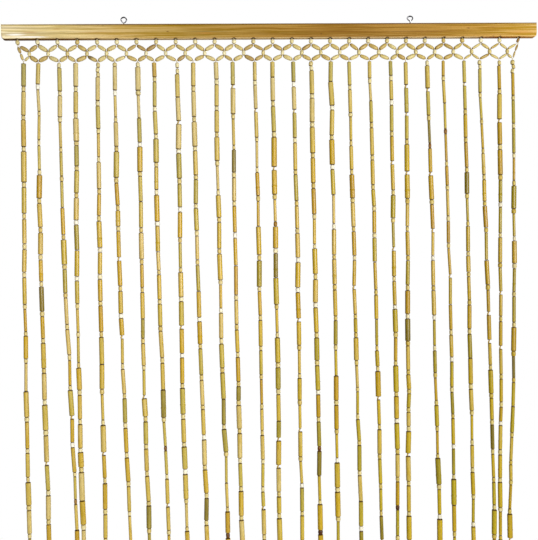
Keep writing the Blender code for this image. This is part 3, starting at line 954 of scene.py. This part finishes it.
# %% The strand table
Strand = namedtuple("Strand", "hang upper middle lower end girth chart")
STRANDS = [
    Strand(-416, -422, -426, -427, -427, 7.4, "81o 128t 180g 239tF"),
    Strand(-392, -396, -396, -395, -397, 7.0, "78tw 122pT 170tT 219lT 266aF"),
    Strand(-358, -359, -354, -349, -352, 7.2, "89l 132p 182tT 230lT"),
    Strand(-331, -336, -339, -338, -335, 7.6, "82p 126t 172pF 213o 258l"),
    Strand(-295, -299, -301, -301, -302, 7.2, "106p 152l 199gT 252p"),
    Strand(-267, -268, -265, -260, -262, 7.0, "89pw 133tT 182p 234lF 280a"),
    Strand(-229, -230, -231, -228, -229, 7.2, "89pF 131pT. 175ow 224gF"),
    Strand(-202, -203, -200, -196, -198, 7.0, "67a 116lw 162l 209lF 255tw"),
    Strand(-164, -165, -167, -165, -166, 7.6, "97t. 139pc 187pFw 237oF"),
    Strand(-137, -137, -135, -131, -133, 7.2, "83t 134p 183pF 231t 279o"),
    Strand(-99, -100, -99, -96, -98, 7.4, "72p 116t 160t 208tF 257pT"),
    Strand(-71, -73, -73, -72, -72, 7.0, "80lc 130pF 182tT 228k 276p"),
    Strand(-34, -33, -34, -35, -34, 6.4, "74t 120pc 169t 220pT 268a"),
    Strand(-4, -5, -6, -8, -7, 7.4, "65t. 109p 161l 218gFc 266gF"),
    Strand(31, 32, 31, 31, 32, 7.0, "77ow 122pc 171lw 225t"),
    Strand(62, 61, 62, 62, 62, 7.6, "97t 145pF 197tF 248g"),
    Strand(95, 95, 94, 92, 93, 7.4, "73l. 117tFw 167t 217gFw"),
    Strand(126, 128, 130, 132, 130, 6.8, "83l 129t 177tT 226t 274aF"),
    Strand(161, 164, 166, 167, 166, 6.6, "72t 106pT. 147l 202t 252t"),
    Strand(197, 197, 197, 196, 197, 6.8, "68o 109tw 162l 211gc 262t"),
    Strand(223, 222, 218, 215, 217, 7.4, "82tc 129lc 176l 229tFc 277tF"),
    Strand(260, 264, 266, 269, 268, 6.8, "88tFc 136l 183kTd 231gc 279gF"),
    Strand(288, 292, 294, 294, 294, 6.0, "69a 111t. 159lTd 214aT 255a"),
    Strand(324, 326, 327, 328, 328, 6.8, "79lc 126l 174g 225a 270kF"),
    Strand(351, 357, 362, 365, 363, 6.4, "98l 143lT 193gT"),
    Strand(385, 384, 380, 375, 377, 6.8, "92a 142tFc 187aF 239aF"),
    Strand(409, 408, 402, 392, 395, 6.0, "103a 151o 202ow 249aT"),
]
UNDERSIDE = rail_low.z
HOLE_DEPTH = 9.0 * MM
STRAND_FORK = 36.0 * MM
STRAND_START = 38.6 * MM
STRAND_END = 1.776
SIGHT_DEPTHS = (STRAND_FORK, 0.290, 0.590, 0.840, STRAND_END)
END_LENGTH = 8.0 * MM
LENGTH_SPREAD = 4.0 * MM
SWAY_DEPTH = 1.3 * MM
GIRTH_SPREAD = 0.16
TUBE_PITCH = 48.3 * MM
TUBES_TO_A_LEVEL = 2


def hole_x(index):
    return HOLES_OFFSET + HOLE_PITCH * (index - (len(STRANDS) - 1) / 2)


def hanging(x, depth, y=MIDDLE_Y):
    """A point in the curtain's plane, at a depth below the rail's underside."""
    return Vector((x, y, UNDERSIDE - depth))


print(len(STRANDS), "strands,", sum(len(row.chart.split()) for row in STRANDS), "charted tubes")

# %% [markdown]
# Each strand hangs on a smooth line. The same cubic runs through the five places of its row, and
# the same seeded draws give its sway and its length, as in the solid model, so that the beads stay
# inside the solid they stand for. The draws for the girths of the solid's levels are made too,
# and thrown away, to keep the two in step.

# %% The line a strand hangs on
Line = namedtuple("Line", "places sway end")


def smooth_value(depths, values, depth):
    """A cubic through the values at the given depths, with no kink at them."""
    slopes = []
    for i in range(len(depths)):
        low, high = max(i - 1, 0), min(i + 1, len(depths) - 1)
        slopes.append((values[high] - values[low]) / (depths[high] - depths[low]))
    i = max(k for k in range(len(depths) - 1) if depths[k] <= depth or k == 0)
    span = depths[i + 1] - depths[i]
    t = (depth - depths[i]) / span
    return ((1 + 2 * t) * (1 - t) ** 2 * values[i] + t * (1 - t) ** 2 * span * slopes[i]
            + t * t * (3 - 2 * t) * values[i + 1] + t * t * (t - 1) * span * slopes[i + 1])


def first_joint(row):
    return int(re.match(r"\d+", row.chart).group()) * MM


def strand_lines():
    chance, lines = random.Random(27), []
    for row in STRANDS:
        places = [value * MM for value in (row.hang, row.upper, row.middle, row.lower, row.end)]
        sway = chance.uniform(-SWAY_DEPTH, SWAY_DEPTH)
        end = STRAND_END - chance.uniform(0, LENGTH_SPREAD)
        spans = round((end - END_LENGTH - first_joint(row)) / TUBE_PITCH / TUBES_TO_A_LEVEL)
        for _ in range(spans + 2):
            chance.uniform(-GIRTH_SPREAD, GIRTH_SPREAD)
        lines.append(Line(places, sway, end))
    return lines


def on_line(line, depth):
    """The point of a strand's line at a depth below the rail's underside."""
    y = MIDDLE_Y + line.sway * math.sin(math.pi * depth / line.end)
    return hanging(smooth_value(SIGHT_DEPTHS, line.places, depth), depth, y)


lines = strand_lines()
print("strands end between", round(min(line.end for line in lines) * 1000), "and",
      round(max(line.end for line in lines) * 1000), "mm below the rail")

# %% [markdown]
# ## Threading a strand
#
# A strand is threaded from the top: perhaps a bead or two, then tube, bead, tube, bead. The chart
# gives the first joints, and random draws carry on from there; then the random part is stretched
# a little, so that its last tube ends where the end bead begins. Tubes are a little thicker lower
# down, and the first ones on the right are slimmer. They hang loose on the cord, so each joint
# lies a fraction of a millimetre off the line, and a tube points from one joint to the next.

# %% Joints of a strand
Joint = namedtuple("Joint", "depth tone girth kind")
PLAIN, BLEACHED, DARK, SHADED_EDGE, TOUCHING = "", "w", "d", "c", "."
CHARTED = re.compile(r"(\d+)([kolptga])([TF]?)([wdc.]?)")
THIN_GIRTH, FAT_GIRTH = 5.0 * MM, 8.7 * MM
THIN_BELOW, FAT_ABOVE = 0.16, 0.84
TONE_WEIGHTS = {"k": 3, "o": 9, "l": 18, "t": 31, "p": 15, "g": 19, "a": 5}
JOINT_WEIGHTS = {PLAIN: 70, BLEACHED: 14, SHADED_EDGE: 7, TOUCHING: 6, DARK: 2}
CHARTED_GIRTHS, PLAIN_GIRTHS = (0.98, 1.07), (0.86, 1.14)
THIN_GIRTHS, FAT_GIRTHS = (0.94, 1.08), (0.94, 1.04)
CHARTED_TONES, DRAWN_TONES = (-0.03, 0.03), (-0.06, 0.06)
PITCHES = (0.92, 1.10)
SHORT_TUBE_SHARE, SHORTENED = 0.06, 0.7
THICKEST_DEPTH, THICKER_BELOW = 0.85, 0.08
SLIM_SIDE, SLIM_SIDE_REACH, SLIMMER_RIGHT = 0.05, 0.25, 0.12


def fitted_girth(row, girth, depth):
    """The girth at that depth: tubes are thicker lower down, and the first on the right slimmer."""
    down = min(depth / THICKEST_DEPTH, 1.0)
    side = min(max((row.hang * MM - SLIM_SIDE) / SLIM_SIDE_REACH, 0.0), 1.0)
    return girth * (1 + THICKER_BELOW * down - SLIMMER_RIGHT * side * (1 - down))


def random_joint(row, depth, chance):
    """One more tube and the joint under it, at the strand's mean pitch."""
    tone = chance.choices(list(TONE_WEIGHTS), TONE_WEIGHTS.values())[0]
    kind = chance.choices(list(JOINT_WEIGHTS), JOINT_WEIGHTS.values())[0]
    girth = row.girth * MM * chance.uniform(*PLAIN_GIRTHS)
    draw = chance.random()
    if draw < THIN_BELOW:
        girth = THIN_GIRTH * chance.uniform(*THIN_GIRTHS)
    elif draw > FAT_ABOVE:
        girth = FAT_GIRTH * chance.uniform(*FAT_GIRTHS)
    pitch = TUBE_PITCH * chance.uniform(*PITCHES)
    if chance.random() < SHORT_TUBE_SHARE:
        pitch *= SHORTENED
    return Joint(depth + pitch, TONES[tone] + chance.uniform(*DRAWN_TONES),
                 fitted_girth(row, girth, depth + pitch), kind)


def strand_joints(row, line, chance):
    joints = []
    for depth, tone, width, kind in CHARTED.findall(row.chart):
        girth = {"T": THIN_GIRTH, "F": FAT_GIRTH}.get(width, row.girth * MM)
        girth = fitted_girth(row, girth * chance.uniform(*CHARTED_GIRTHS), int(depth) * MM)
        tone = TONES[tone] + chance.uniform(*CHARTED_TONES)
        joints.append(Joint(int(depth) * MM, tone, girth, kind))
    charted, last_tube = len(joints), line.end - END_LENGTH
    while joints[-1].depth < last_tube - TUBE_PITCH / 2:
        joints.append(random_joint(row, joints[-1].depth, chance))
    start, found = joints[charted - 1].depth, joints[-1].depth
    stretch = (last_tube - start) / (found - start)
    for i in range(charted, len(joints)):
        joints[i] = joints[i]._replace(depth=start + (joints[i].depth - start) * stretch)
    joints[-1] = joints[-1]._replace(kind=TOUCHING)
    return joints


chance = random.Random(4527)
all_joints = [strand_joints(row, line, chance) for row, line in zip(STRANDS, lines)]
print(sum(len(joints) for joints in all_joints), "tubes in all")

# %% [markdown]
# From joints to beads. A joint with a bead leaves room for it and a little play. Where a pale bead
# is lost in the light, a slim golden sliver left of the cord stands for its shaded edge, which is
# painted shade, and a touching joint leaves only a hair's breadth. Above the first tube, any spare
# length is taken up by one or two round beads.

# %% Threading tubes and round beads
SPACER_LENGTH, SPACER_GIRTH = 7.8 * MM, 6.6 * MM
SPACER_TONES = {PLAIN: 0.62, BLEACHED: 0.93, DARK: 0.08}
SPACER_TONE_SPREAD = (-0.14, 0.12)
# The slim sliver that stands, as painted shade, for the shaded edge of a pale bead.
SHADE_SLIVER_GIRTH, SHADE_SLIVER_TONES = 2.7 * MM, (0.3, 0.45)
SHADED_EDGE_GAP, SHADE_SLIVER_LEAST, SHADE_SLIVER_MOST = 5.5 * MM, 0.9, 1.4
TOUCH_GAP = 0.5 * MM
PLAY = 0.3 * MM
OFF_LINE = 0.45 * MM
FIRST_TUBE = 40.0 * MM
ABOVE_FIRST, BEAD_SPARE = 0.6 * MM, 0.4 * MM
JOINTED_SHARE = 0.12
OVAL = (0.93, 1.0)
tubes, jointed_tubes, spacers = [], [], []


def joint_gap(kind, bead_length):
    return {SHADED_EDGE: SHADED_EDGE_GAP, TOUCHING: TOUCH_GAP}.get(kind, bead_length + 2 * PLAY)


def round_bead(place, above, kind, length, chance, tube_girth=SPACER_GIRTH):
    """A small round bead on the cord that comes from above, picked to go with its tube."""
    girth = (SPACER_GIRTH + tube_girth) / 2 * chance.uniform(0.90, 1.10) / 2
    tone = SPACER_TONES[kind] + chance.uniform(*SPACER_TONE_SPREAD)
    size = (girth, girth * chance.uniform(*OVAL), length)
    return Bead(place, along_line(place, above, chance.uniform(0, 6)), size, tone)


def shade_sliver_bead(place, above, chance):
    """A slim golden sliver left of the cord: painted shade, standing for the shaded edge of a pale
    bead lost in the light.
    """
    place.x -= chance.uniform(SHADE_SLIVER_LEAST, SHADE_SLIVER_MOST) * MM
    girth = SHADE_SLIVER_GIRTH * chance.uniform(0.9, 1.1) / 2
    return Bead(place, along_line(place, above, 0.0), (girth, girth, SHADED_EDGE_GAP - PLAY),
                chance.uniform(*SHADE_SLIVER_TONES))


def first_beads(line, top, chance):
    """The round beads between the netting and the first tube. Returns the cord's way to there."""
    path = [on_line(line, STRAND_FORK)]
    count = round((top - STRAND_START) / (SPACER_LENGTH + 2 * PLAY))
    room = (top - STRAND_START) / max(count, 1)
    for i in range(count):
        place = on_line(line, STRAND_START + room * (i + 0.5))
        place.x += chance.gauss(0, OFF_LINE)
        length = min(room - BEAD_SPARE, SPACER_LENGTH * chance.uniform(0.95, 1.15))
        spacers.append(round_bead(place, path[-1], PLAIN, length, chance))
        path.append(place)
    return path


def thread_strand(line, joints, chance):
    """Threads one strand's tubes and beads, and returns the cord's way through them."""
    first = joints[0].depth - joint_gap(joints[0].kind, SPACER_LENGTH) / 2
    top = max(STRAND_START + ABOVE_FIRST, first - FIRST_TUBE * chance.uniform(0.94, 1.02))
    path = first_beads(line, top, chance)
    off = Vector((0, 0, 0))
    for joint in joints:
        length = SPACER_LENGTH * chance.uniform(0.86, 1.16)
        gap = joint_gap(joint.kind, length)
        bottom = joint.depth if joint is joints[-1] else joint.depth - gap / 2
        next_off = Vector((chance.gauss(0, OFF_LINE), chance.gauss(0, OFF_LINE * 0.6), 0))
        head, foot = on_line(line, top) + off, on_line(line, bottom) + next_off
        middle, radius = (head + foot) / 2, joint.girth / 2
        size = (radius, radius * chance.uniform(*OVAL), (head - foot).length)
        tube = Bead(middle, along_line(foot, head, chance.uniform(0, 6)), size, joint.tone)
        (jointed_tubes if chance.random() < JOINTED_SHARE else tubes).append(tube)
        path += [head, foot]
        place = on_line(line, joint.depth) + next_off
        # A slim sliver of painted shade where a pale bead is lost in the light.
        if joint.kind == SHADED_EDGE:
            spacers.append(shade_sliver_bead(place, foot, chance))
            path.append(place)
        elif joint.kind != TOUCHING:
            spacers.append(round_bead(place, foot, joint.kind, length, chance, joint.girth))
        off, top = next_off, joint.depth + gap / 2
    return path


chance = random.Random(812)
cord_paths = [thread_strand(line, joints, chance) for line, joints in zip(lines, all_joints)]
print(len(tubes) + len(jointed_tubes), "tubes and", len(spacers), "round beads")

# %% [markdown]
# The lists are full now, so the trees can run. A seed for each object keeps its draws its own.

# %% Make the tubes and the round beads
for name, pieces, tree, seed in (("cane_tubes", tubes, tube_tree, 5),
                                 ("jointed_cane_tubes", jointed_tubes, jointed_tree, 6)):
    string_beads(name, pieces, tree, cane_skin, sides=12, unevenness=0.16 * MM,
                 lump_size=9 * MM, seed=seed)
string_beads("round_beads", spacers, spacer_tree, turned_wood, sides=8, unevenness=0.12 * MM,
             lump_size=4 * MM, seed=7)

# %% [markdown]
# ## The netting
#
# Under every hole hangs one upright bead. The two cords that leave it part, each through a slanted
# rice bead, and cross their neighbours inside an upright bead; below that they part again through
# two more rice beads and meet above a strand. So the band is a row of diamonds, and everything in
# it follows from three rows of forks: under the holes, at the crossings and above the strands. At
# the two side edges there is no neighbour, and two rice beads in line carry the cord straight
# down.

# %% Beads of the netting
RAIL_BEAD_TOP, RAIL_BEAD_END = 0.8 * MM, 8.4 * MM
FORK_DEPTH = 9.6 * MM
CROSSING_TOP, CROSSING_END = 19.2 * MM, 27.8 * MM
CROSSING_GIRTH, RAIL_BEAD_GIRTH = 6.4 * MM, 7.2 * MM
RICE_LENGTH, RICE_GIRTH = 16.6 * MM, 6.7 * MM
RICE_MARGIN = 1.15 * MM
EDGE_MARGIN_ABOVE, EDGE_MARGIN_BELOW = 5.0 * MM, 2.6 * MM
CHAIN_END, CHAIN_MIDDLE = 2.6 * MM, 0.6 * MM
WIDEST_LEFT, NARROWER_RIGHT = 1.10, 0.10
SLIM_FROM, SLIM = 23, 0.72
OUTER_GIRTH = 4.9 * MM
RICE_TONES, CROSSING_TONES, RAIL_TONES = (0.22, 0.58), (0.45, 0.8), (0.5, 0.85)
crossing_beads, rice_beads = [], []


def between_forks(start, end, chance, start_margin=RICE_MARGIN, end_margin=RICE_MARGIN,
                  girth=RICE_GIRTH, tone=None):
    """A rice bead on the cord from one fork to the next, centred in the length it may take."""
    way = (end - start).normalized()
    low, high = start + way * start_margin, end - way * end_margin
    length = min((high - low).length, RICE_LENGTH * chance.uniform(0.95, 1.06))
    slack = ((high - low).length - length) / 2
    middle = (low + high) / 2 + way * chance.uniform(-slack, slack)
    lean = Vector((chance.gauss(0, 0.25), chance.gauss(0, 0.2), chance.gauss(0, 0.25))) * MM
    radius = girth / 2 * chance.uniform(0.90, 1.08)
    tone = chance.uniform(*RICE_TONES) if tone is None else tone
    rice_beads.append(Bead(middle, along_line(low - lean, high + lean, chance.uniform(0, 6)),
                           (radius, radius * chance.uniform(0.94, 1.0), length), tone))


def upright_bead(x, top, bottom, chance, tone, girth=CROSSING_GIRTH, lean=0.0):
    """A bead under a hole or round a crossing. lean is how far its head is out of plumb."""
    middle = hanging(x, (top + bottom) / 2)
    radius = girth / 2 * chance.uniform(0.92, 1.04)
    lean = Vector((lean + chance.gauss(0, 0.08), chance.gauss(0, 0.04), 1))
    crossing_beads.append(Bead(middle, along_line(Vector(), lean, chance.uniform(0, 6)),
                               (radius, radius, bottom - top), tone))


def crossing_x(index):
    row, next_row = STRANDS[index], STRANDS[index + 1]
    return (hole_x(index) + hole_x(index + 1) + (row.hang + next_row.hang) * MM) / 4


print("rice beads about", round(RICE_LENGTH / MM, 1), "mm long")

# %% [markdown]
# A few of these beads catch the eye because they are dark, bleached or lean to one side, so their
# tones and leans are listed by the number of their hole, from the left. The beads round the last
# three crossings on the right are slimmer.

# %% Place the netting's beads
chance = random.Random(91)
last = len(STRANDS) - 1
upper_forks = [hanging(hole_x(i), FORK_DEPTH) for i in range(last + 1)]
lower_forks = [hanging(row.hang * MM, STRAND_FORK) for row in STRANDS]
heads = [hanging(crossing_x(i), CROSSING_TOP) for i in range(last)]
feet = [hanging(crossing_x(i), CROSSING_END) for i in range(last)]
RAIL_BEAD_TONES = {2: 0.80, 3: 0.36, 22: 0.40, 23: 0.36, 24: 0.92, 26: 0.16}
RAIL_BEAD_LEANS = {0: -0.34, 1: -0.30, 23: -0.2, 26: 0.45}
DARK_RICE = {("lower", 3, 4): 0.36, ("upper", 7, 6): 0.2}
EDGE_CHAINS = [(0, 4.9 * MM, (0.26, 0.42)), (last, 3.5 * MM, (0.22, 0.30))]
for i in range(last + 1):
    tone = RAIL_BEAD_TONES.get(i, chance.uniform(*RAIL_TONES))
    upright_bead(hole_x(i), RAIL_BEAD_TOP, RAIL_BEAD_END, chance, tone,
                 RAIL_BEAD_GIRTH * (SLIM if i == last else 1), RAIL_BEAD_LEANS.get(i, 0.0))
for i in range(last):
    tone = chance.uniform(*CROSSING_TONES)
    upright_bead(crossing_x(i), CROSSING_TOP, CROSSING_END, chance, tone)
    girth = RICE_GIRTH * (SLIM if i >= SLIM_FROM else WIDEST_LEFT - NARROWER_RIGHT * i / last)
    for side in (i, i + 1):
        outer = side in (0, last)
        between_forks(upper_forks[side], heads[i], chance,
                      start_margin=EDGE_MARGIN_ABOVE if outer else RICE_MARGIN, girth=girth,
                      tone=DARK_RICE.get(("upper", side, i)))
        between_forks(feet[i], lower_forks[side], chance,
                      end_margin=EDGE_MARGIN_BELOW if outer else RICE_MARGIN,
                      girth=min(girth, OUTER_GIRTH) if outer else girth,
                      tone=DARK_RICE.get(("lower", i, side)))
for i, girth, tones in EDGE_CHAINS:
    middle = upper_forks[i].lerp(lower_forks[i], 0.5)
    between_forks(upper_forks[i], middle, chance, CHAIN_END, CHAIN_MIDDLE, girth, tones[0])
    between_forks(middle, lower_forks[i], chance, CHAIN_MIDDLE, CHAIN_END, girth, tones[1])
string_beads("crossing_beads", crossing_beads, crossing_tree, turned_wood, sides=14,
             unevenness=0.1 * MM, lump_size=4 * MM, seed=8)
string_beads("rice_beads", rice_beads, rice_tree, turned_wood, sides=10, unevenness=0.1 * MM,
             lump_size=5 * MM, seed=9)

# %% [markdown]
# ## End beads and knots
#
# Each strand ends in one round bead held up by a knot. Both sit in the last eight millimetres of
# the strand. The knot is a small lump of the same cord, so it is turned like a bead and given the
# cord's material.

# %% End beads and knots
END_BEAD_SIZE = (2.6 * MM, 2.6 * MM, 5.8 * MM)
KNOT_SIZE = (1.3 * MM, 1.3 * MM, 2.0 * MM)
BEAD_AT, KNOT_AT = 0.42, 0.9
KNOT_TONE = 0.6
TAIL, TAIL_SPREAD = 2.5 * MM, 0.8
chance = random.Random(300)
end_beads, knots = [], []
for line, path in zip(lines, cord_paths):
    tip = on_line(line, line.end)
    top = on_line(line, line.end - END_LENGTH)
    middle = top.lerp(tip, BEAD_AT)
    turn = along_line(tip, top, chance.uniform(0, 6))
    end_beads.append(Bead(middle, turn, END_BEAD_SIZE, chance.uniform(*CROSSING_TONES)))
    knots.append(Bead(top.lerp(tip, KNOT_AT), turn, KNOT_SIZE, KNOT_TONE))
    path += [middle, tip + Vector((chance.gauss(0, TAIL_SPREAD) * MM, 0, -TAIL))]
string_beads("end_beads", end_beads, crossing_tree, turned_wood, sides=12,
             unevenness=0.1 * MM, lump_size=4 * MM, seed=10)
string_beads("cord_knots", knots, crossing_tree, cotton, sides=8, unevenness=0.4 * MM,
             lump_size=1.5 * MM, seed=11)

# %% [markdown]
# ## The cords
#
# A cord shows only in the joints, at the forks and where it enters the rail, but it runs the whole
# way, as the real one does. Its path is a chain of edges. A second tree turns such chains into
# curves and sweeps a small circle along them, and stores on the mesh what the cord's material
# needs: the direction round the cord and the length along it.

# %% The tree that lays a cord


def cord_tree():
    tree, given, result = new_group("cords along edges", "GeometryNodeTree", {
        "Paths": (GEOMETRY, None), "Sides": (INTEGER, 6), "Radius": (FLOAT, 0.0005),
        "Material": (MATERIAL, None)}, {"Cords": GEOMETRY})
    curve = out(tree, "GeometryNodeMeshToCurve", {"Mesh": given["Paths"]})
    length = put(tree, "GeometryNodeSplineParameter").outputs["Length"]
    circle = out(tree, "GeometryNodeCurvePrimitiveCircle",
                 {"Resolution": given["Sides"], "Radius": given["Radius"]})
    ring = stored(tree, circle, "around", out(tree, "GeometryNodeInputPosition"))
    swept = out(tree, "GeometryNodeCurveToMesh",
                {"Curve": stored(tree, curve, "along", length, "FLOAT"), "Profile Curve": ring,
                 "Fill Caps": True})
    around = parts_of(tree, named(tree, "around"))
    place = joined(tree, around[0], around[1], named(tree, "along", "FLOAT"))
    marked = stored(tree, swept, "cord_place", place)
    smooth = out(tree, "GeometryNodeSetShadeSmooth", {"Geometry": marked, "Shade Smooth": True})
    dressed = out(tree, "GeometryNodeSetMaterial",
                  {"Geometry": smooth, "Material": given["Material"]})
    plug(tree, result["Cords"], out(tree, "GeometryNodeRealizeInstances", {"Geometry": dressed}))
    return tree


cords_on_edges = cord_tree()
print("tree:", cords_on_edges.name)

# %% [markdown]
# In the netting each hole holds two cords, one for each side. A cord goes through its upright
# bead, its rice bead and the crossing, and swaps places there with its neighbour's, so it comes
# down to the next strand along.

# %% The cords
CORD_RADIUS = 0.5 * MM
CORD_SIDES = 6
BESIDE = 0.55 * MM
CORD_TOP = 0.5 * MM - HOLE_DEPTH
CORD_FOOT = STRAND_START + 1.5 * MM
LEAVING_BEAD = 1.2 * MM


def net_cord(side, crossing):
    """The cord from one hole through one crossing, and out on the crossing's other side."""
    step = BESIDE if crossing == side else -BESIDE
    other = crossing + 1 if crossing == side else crossing
    return [hanging(hole_x(side) + step, CORD_TOP),
            upper_forks[side] + Vector((step, 0, LEAVING_BEAD)),
            upper_forks[side] + Vector((step * 1.6, 0, 0)),
            heads[crossing] + Vector((-step * 0.8, 0, 0)),
            feet[crossing] + Vector((step * 0.8, 0, 0)),
            lower_forks[other] + Vector((-step, 0, 0)),
            hanging(STRANDS[other].hang * MM - step * 0.5, CORD_FOOT)]


def edge_cord(side):
    """The cord at a side edge, straight down from its hole."""
    step = BESIDE if side == last else -BESIDE
    return [hanging(hole_x(side) + step, CORD_TOP), upper_forks[side] + Vector((step, 0, 0)),
            lower_forks[side] + Vector((step * 0.6, 0, 0)),
            hanging(STRANDS[side].hang * MM, CORD_FOOT)]


def lay_cords(name, paths):
    """One object with a round cord along every path."""
    points, edges = [], []
    for path in paths:
        start = len(points)
        points += [tuple(point) for point in path]
        edges += [(start + i, start + i + 1) for i in range(len(path) - 1)]
    mesh = bpy.data.meshes.new(name)
    mesh.from_pydata(points, edges, [])
    obj = add_object(name, mesh)
    run_tree(obj, cords_on_edges, {"Sides": CORD_SIDES, "Radius": CORD_RADIUS,
                                   "Material": cotton})
    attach(obj, "root")
    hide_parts("curtain")
    print(f"{name}: {len(paths)} cords, {len(obj.data.polygons)} faces")


net_paths = [net_cord(side, crossing) for crossing in range(last)
             for side in (crossing, crossing + 1)]
lay_cords("net_cords", net_paths + [edge_cord(0), edge_cord(last)])
lay_cords("strand_cords", cord_paths)

# %% [markdown]
# ## Screw eyes
#
# Each eye is one piece of wire: a threaded shank that goes into the rail's top edge and a loop
# that nearly closes. The loop narrows towards its foot like a pear, its wire is thicker along the
# top, and the right one is a little flatter than the left. A curve with a round bevel is the plain
# way to model bent wire. The thread is a second, thinner curve wound round the shank by a formula,
# and both are joined into one mesh.

# %% Screw eyes
Eye = namedtuple("Eye", "x rise half_width half_height")
EYES = {"screw_eye_left": Eye(-0.2503, 7.7 * MM, 4.6 * MM, 4.6 * MM),
        "screw_eye_right": Eye(0.232, 8.9 * MM, 4.8 * MM, 3.9 * MM)}
PEAR = 0.42
TOP_THICKENING = 0.32
THREAD_RIDGE = 0.2 * MM
WIRE_RADIUS = 0.88 * MM
SHANK_LENGTH = 11.0 * MM
LOOP_START, LOOP_END, LOOP_STEPS = 258, -80, 44
STEM_END, BEND_AT, BEND_BY = 1.6 * MM, 0.7 * MM, 0.15 * MM
THREAD_PITCH, THREAD_STEPS = 0.95 * MM, 12
THREAD_TOP, THREAD_TIP = 1.1 * MM, 0.6 * MM


def eye_route(eye):
    """The bent wire's points and radii, from the tip of the shank round the loop."""
    x, centre = eye.x, rail_high.z + eye.rise
    foot = centre - eye.half_height
    route = [(x, rail_high.z - SHANK_LENGTH), (x, foot - STEM_END), (x - BEND_BY, foot - BEND_AT)]
    radii = [WIRE_RADIUS] * len(route)
    for step in range(LOOP_STEPS + 1):
        angle = math.radians(LOOP_START + (LOOP_END - LOOP_START) * step / LOOP_STEPS)
        narrower = 1 - PEAR * max(-math.sin(angle), 0) * abs(math.cos(angle))
        route.append((x + eye.half_width * math.cos(angle) * narrower,
                      centre + eye.half_height * math.sin(angle)))
        radii.append(WIRE_RADIUS * (1 + TOP_THICKENING * max(math.sin(angle), 0)))
    return [Vector((px, MIDDLE_Y, pz)) for px, pz in route], radii


def thread_route(x):
    """The ridge of the thread, wound round the shank."""
    low, high = rail_high.z - SHANK_LENGTH + THREAD_TIP, rail_high.z + THREAD_TOP
    count = round((high - low) / THREAD_PITCH * THREAD_STEPS)
    route = []
    for i in range(count + 1):
        angle = 2 * math.pi * i / THREAD_STEPS
        route.append(Vector((x + WIRE_RADIUS * math.cos(angle),
                             MIDDLE_Y + WIRE_RADIUS * math.sin(angle),
                             low + (high - low) * i / count)))
    return route, [THREAD_RIDGE] * len(route)


def wire(name, routes):
    """One mesh of round wires. routes lists (points, the wire's radius at each)."""
    curve = bpy.data.curves.new(name, "CURVE")
    curve.dimensions = "3D"
    curve.bevel_depth = 1.0
    curve.bevel_resolution = 4
    curve.use_fill_caps = True
    for points, radii in routes:
        spline = curve.splines.new("POLY")
        spline.points.add(len(points) - 1)
        for spot, point, radius in zip(spline.points, points, radii):
            spot.co = (*point, 1.0)
            spot.radius = radius
    curved = add_object(name, curve)
    graph = bpy.context.evaluated_depsgraph_get()
    mesh = bpy.data.meshes.new_from_object(curved.evaluated_get(graph))
    bpy.data.objects.remove(curved)
    mesh.materials.clear()
    mesh.materials.append(wire_steel)
    mesh.shade_smooth()
    return add_object(name, mesh)


for node, eye in EYES.items():
    bent = wire(node + "_wire", [eye_route(eye), thread_route(eye.x)])
    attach(bent, "root")
    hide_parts(node)
    print(bent.name, len(bent.data.polygons), "faces")
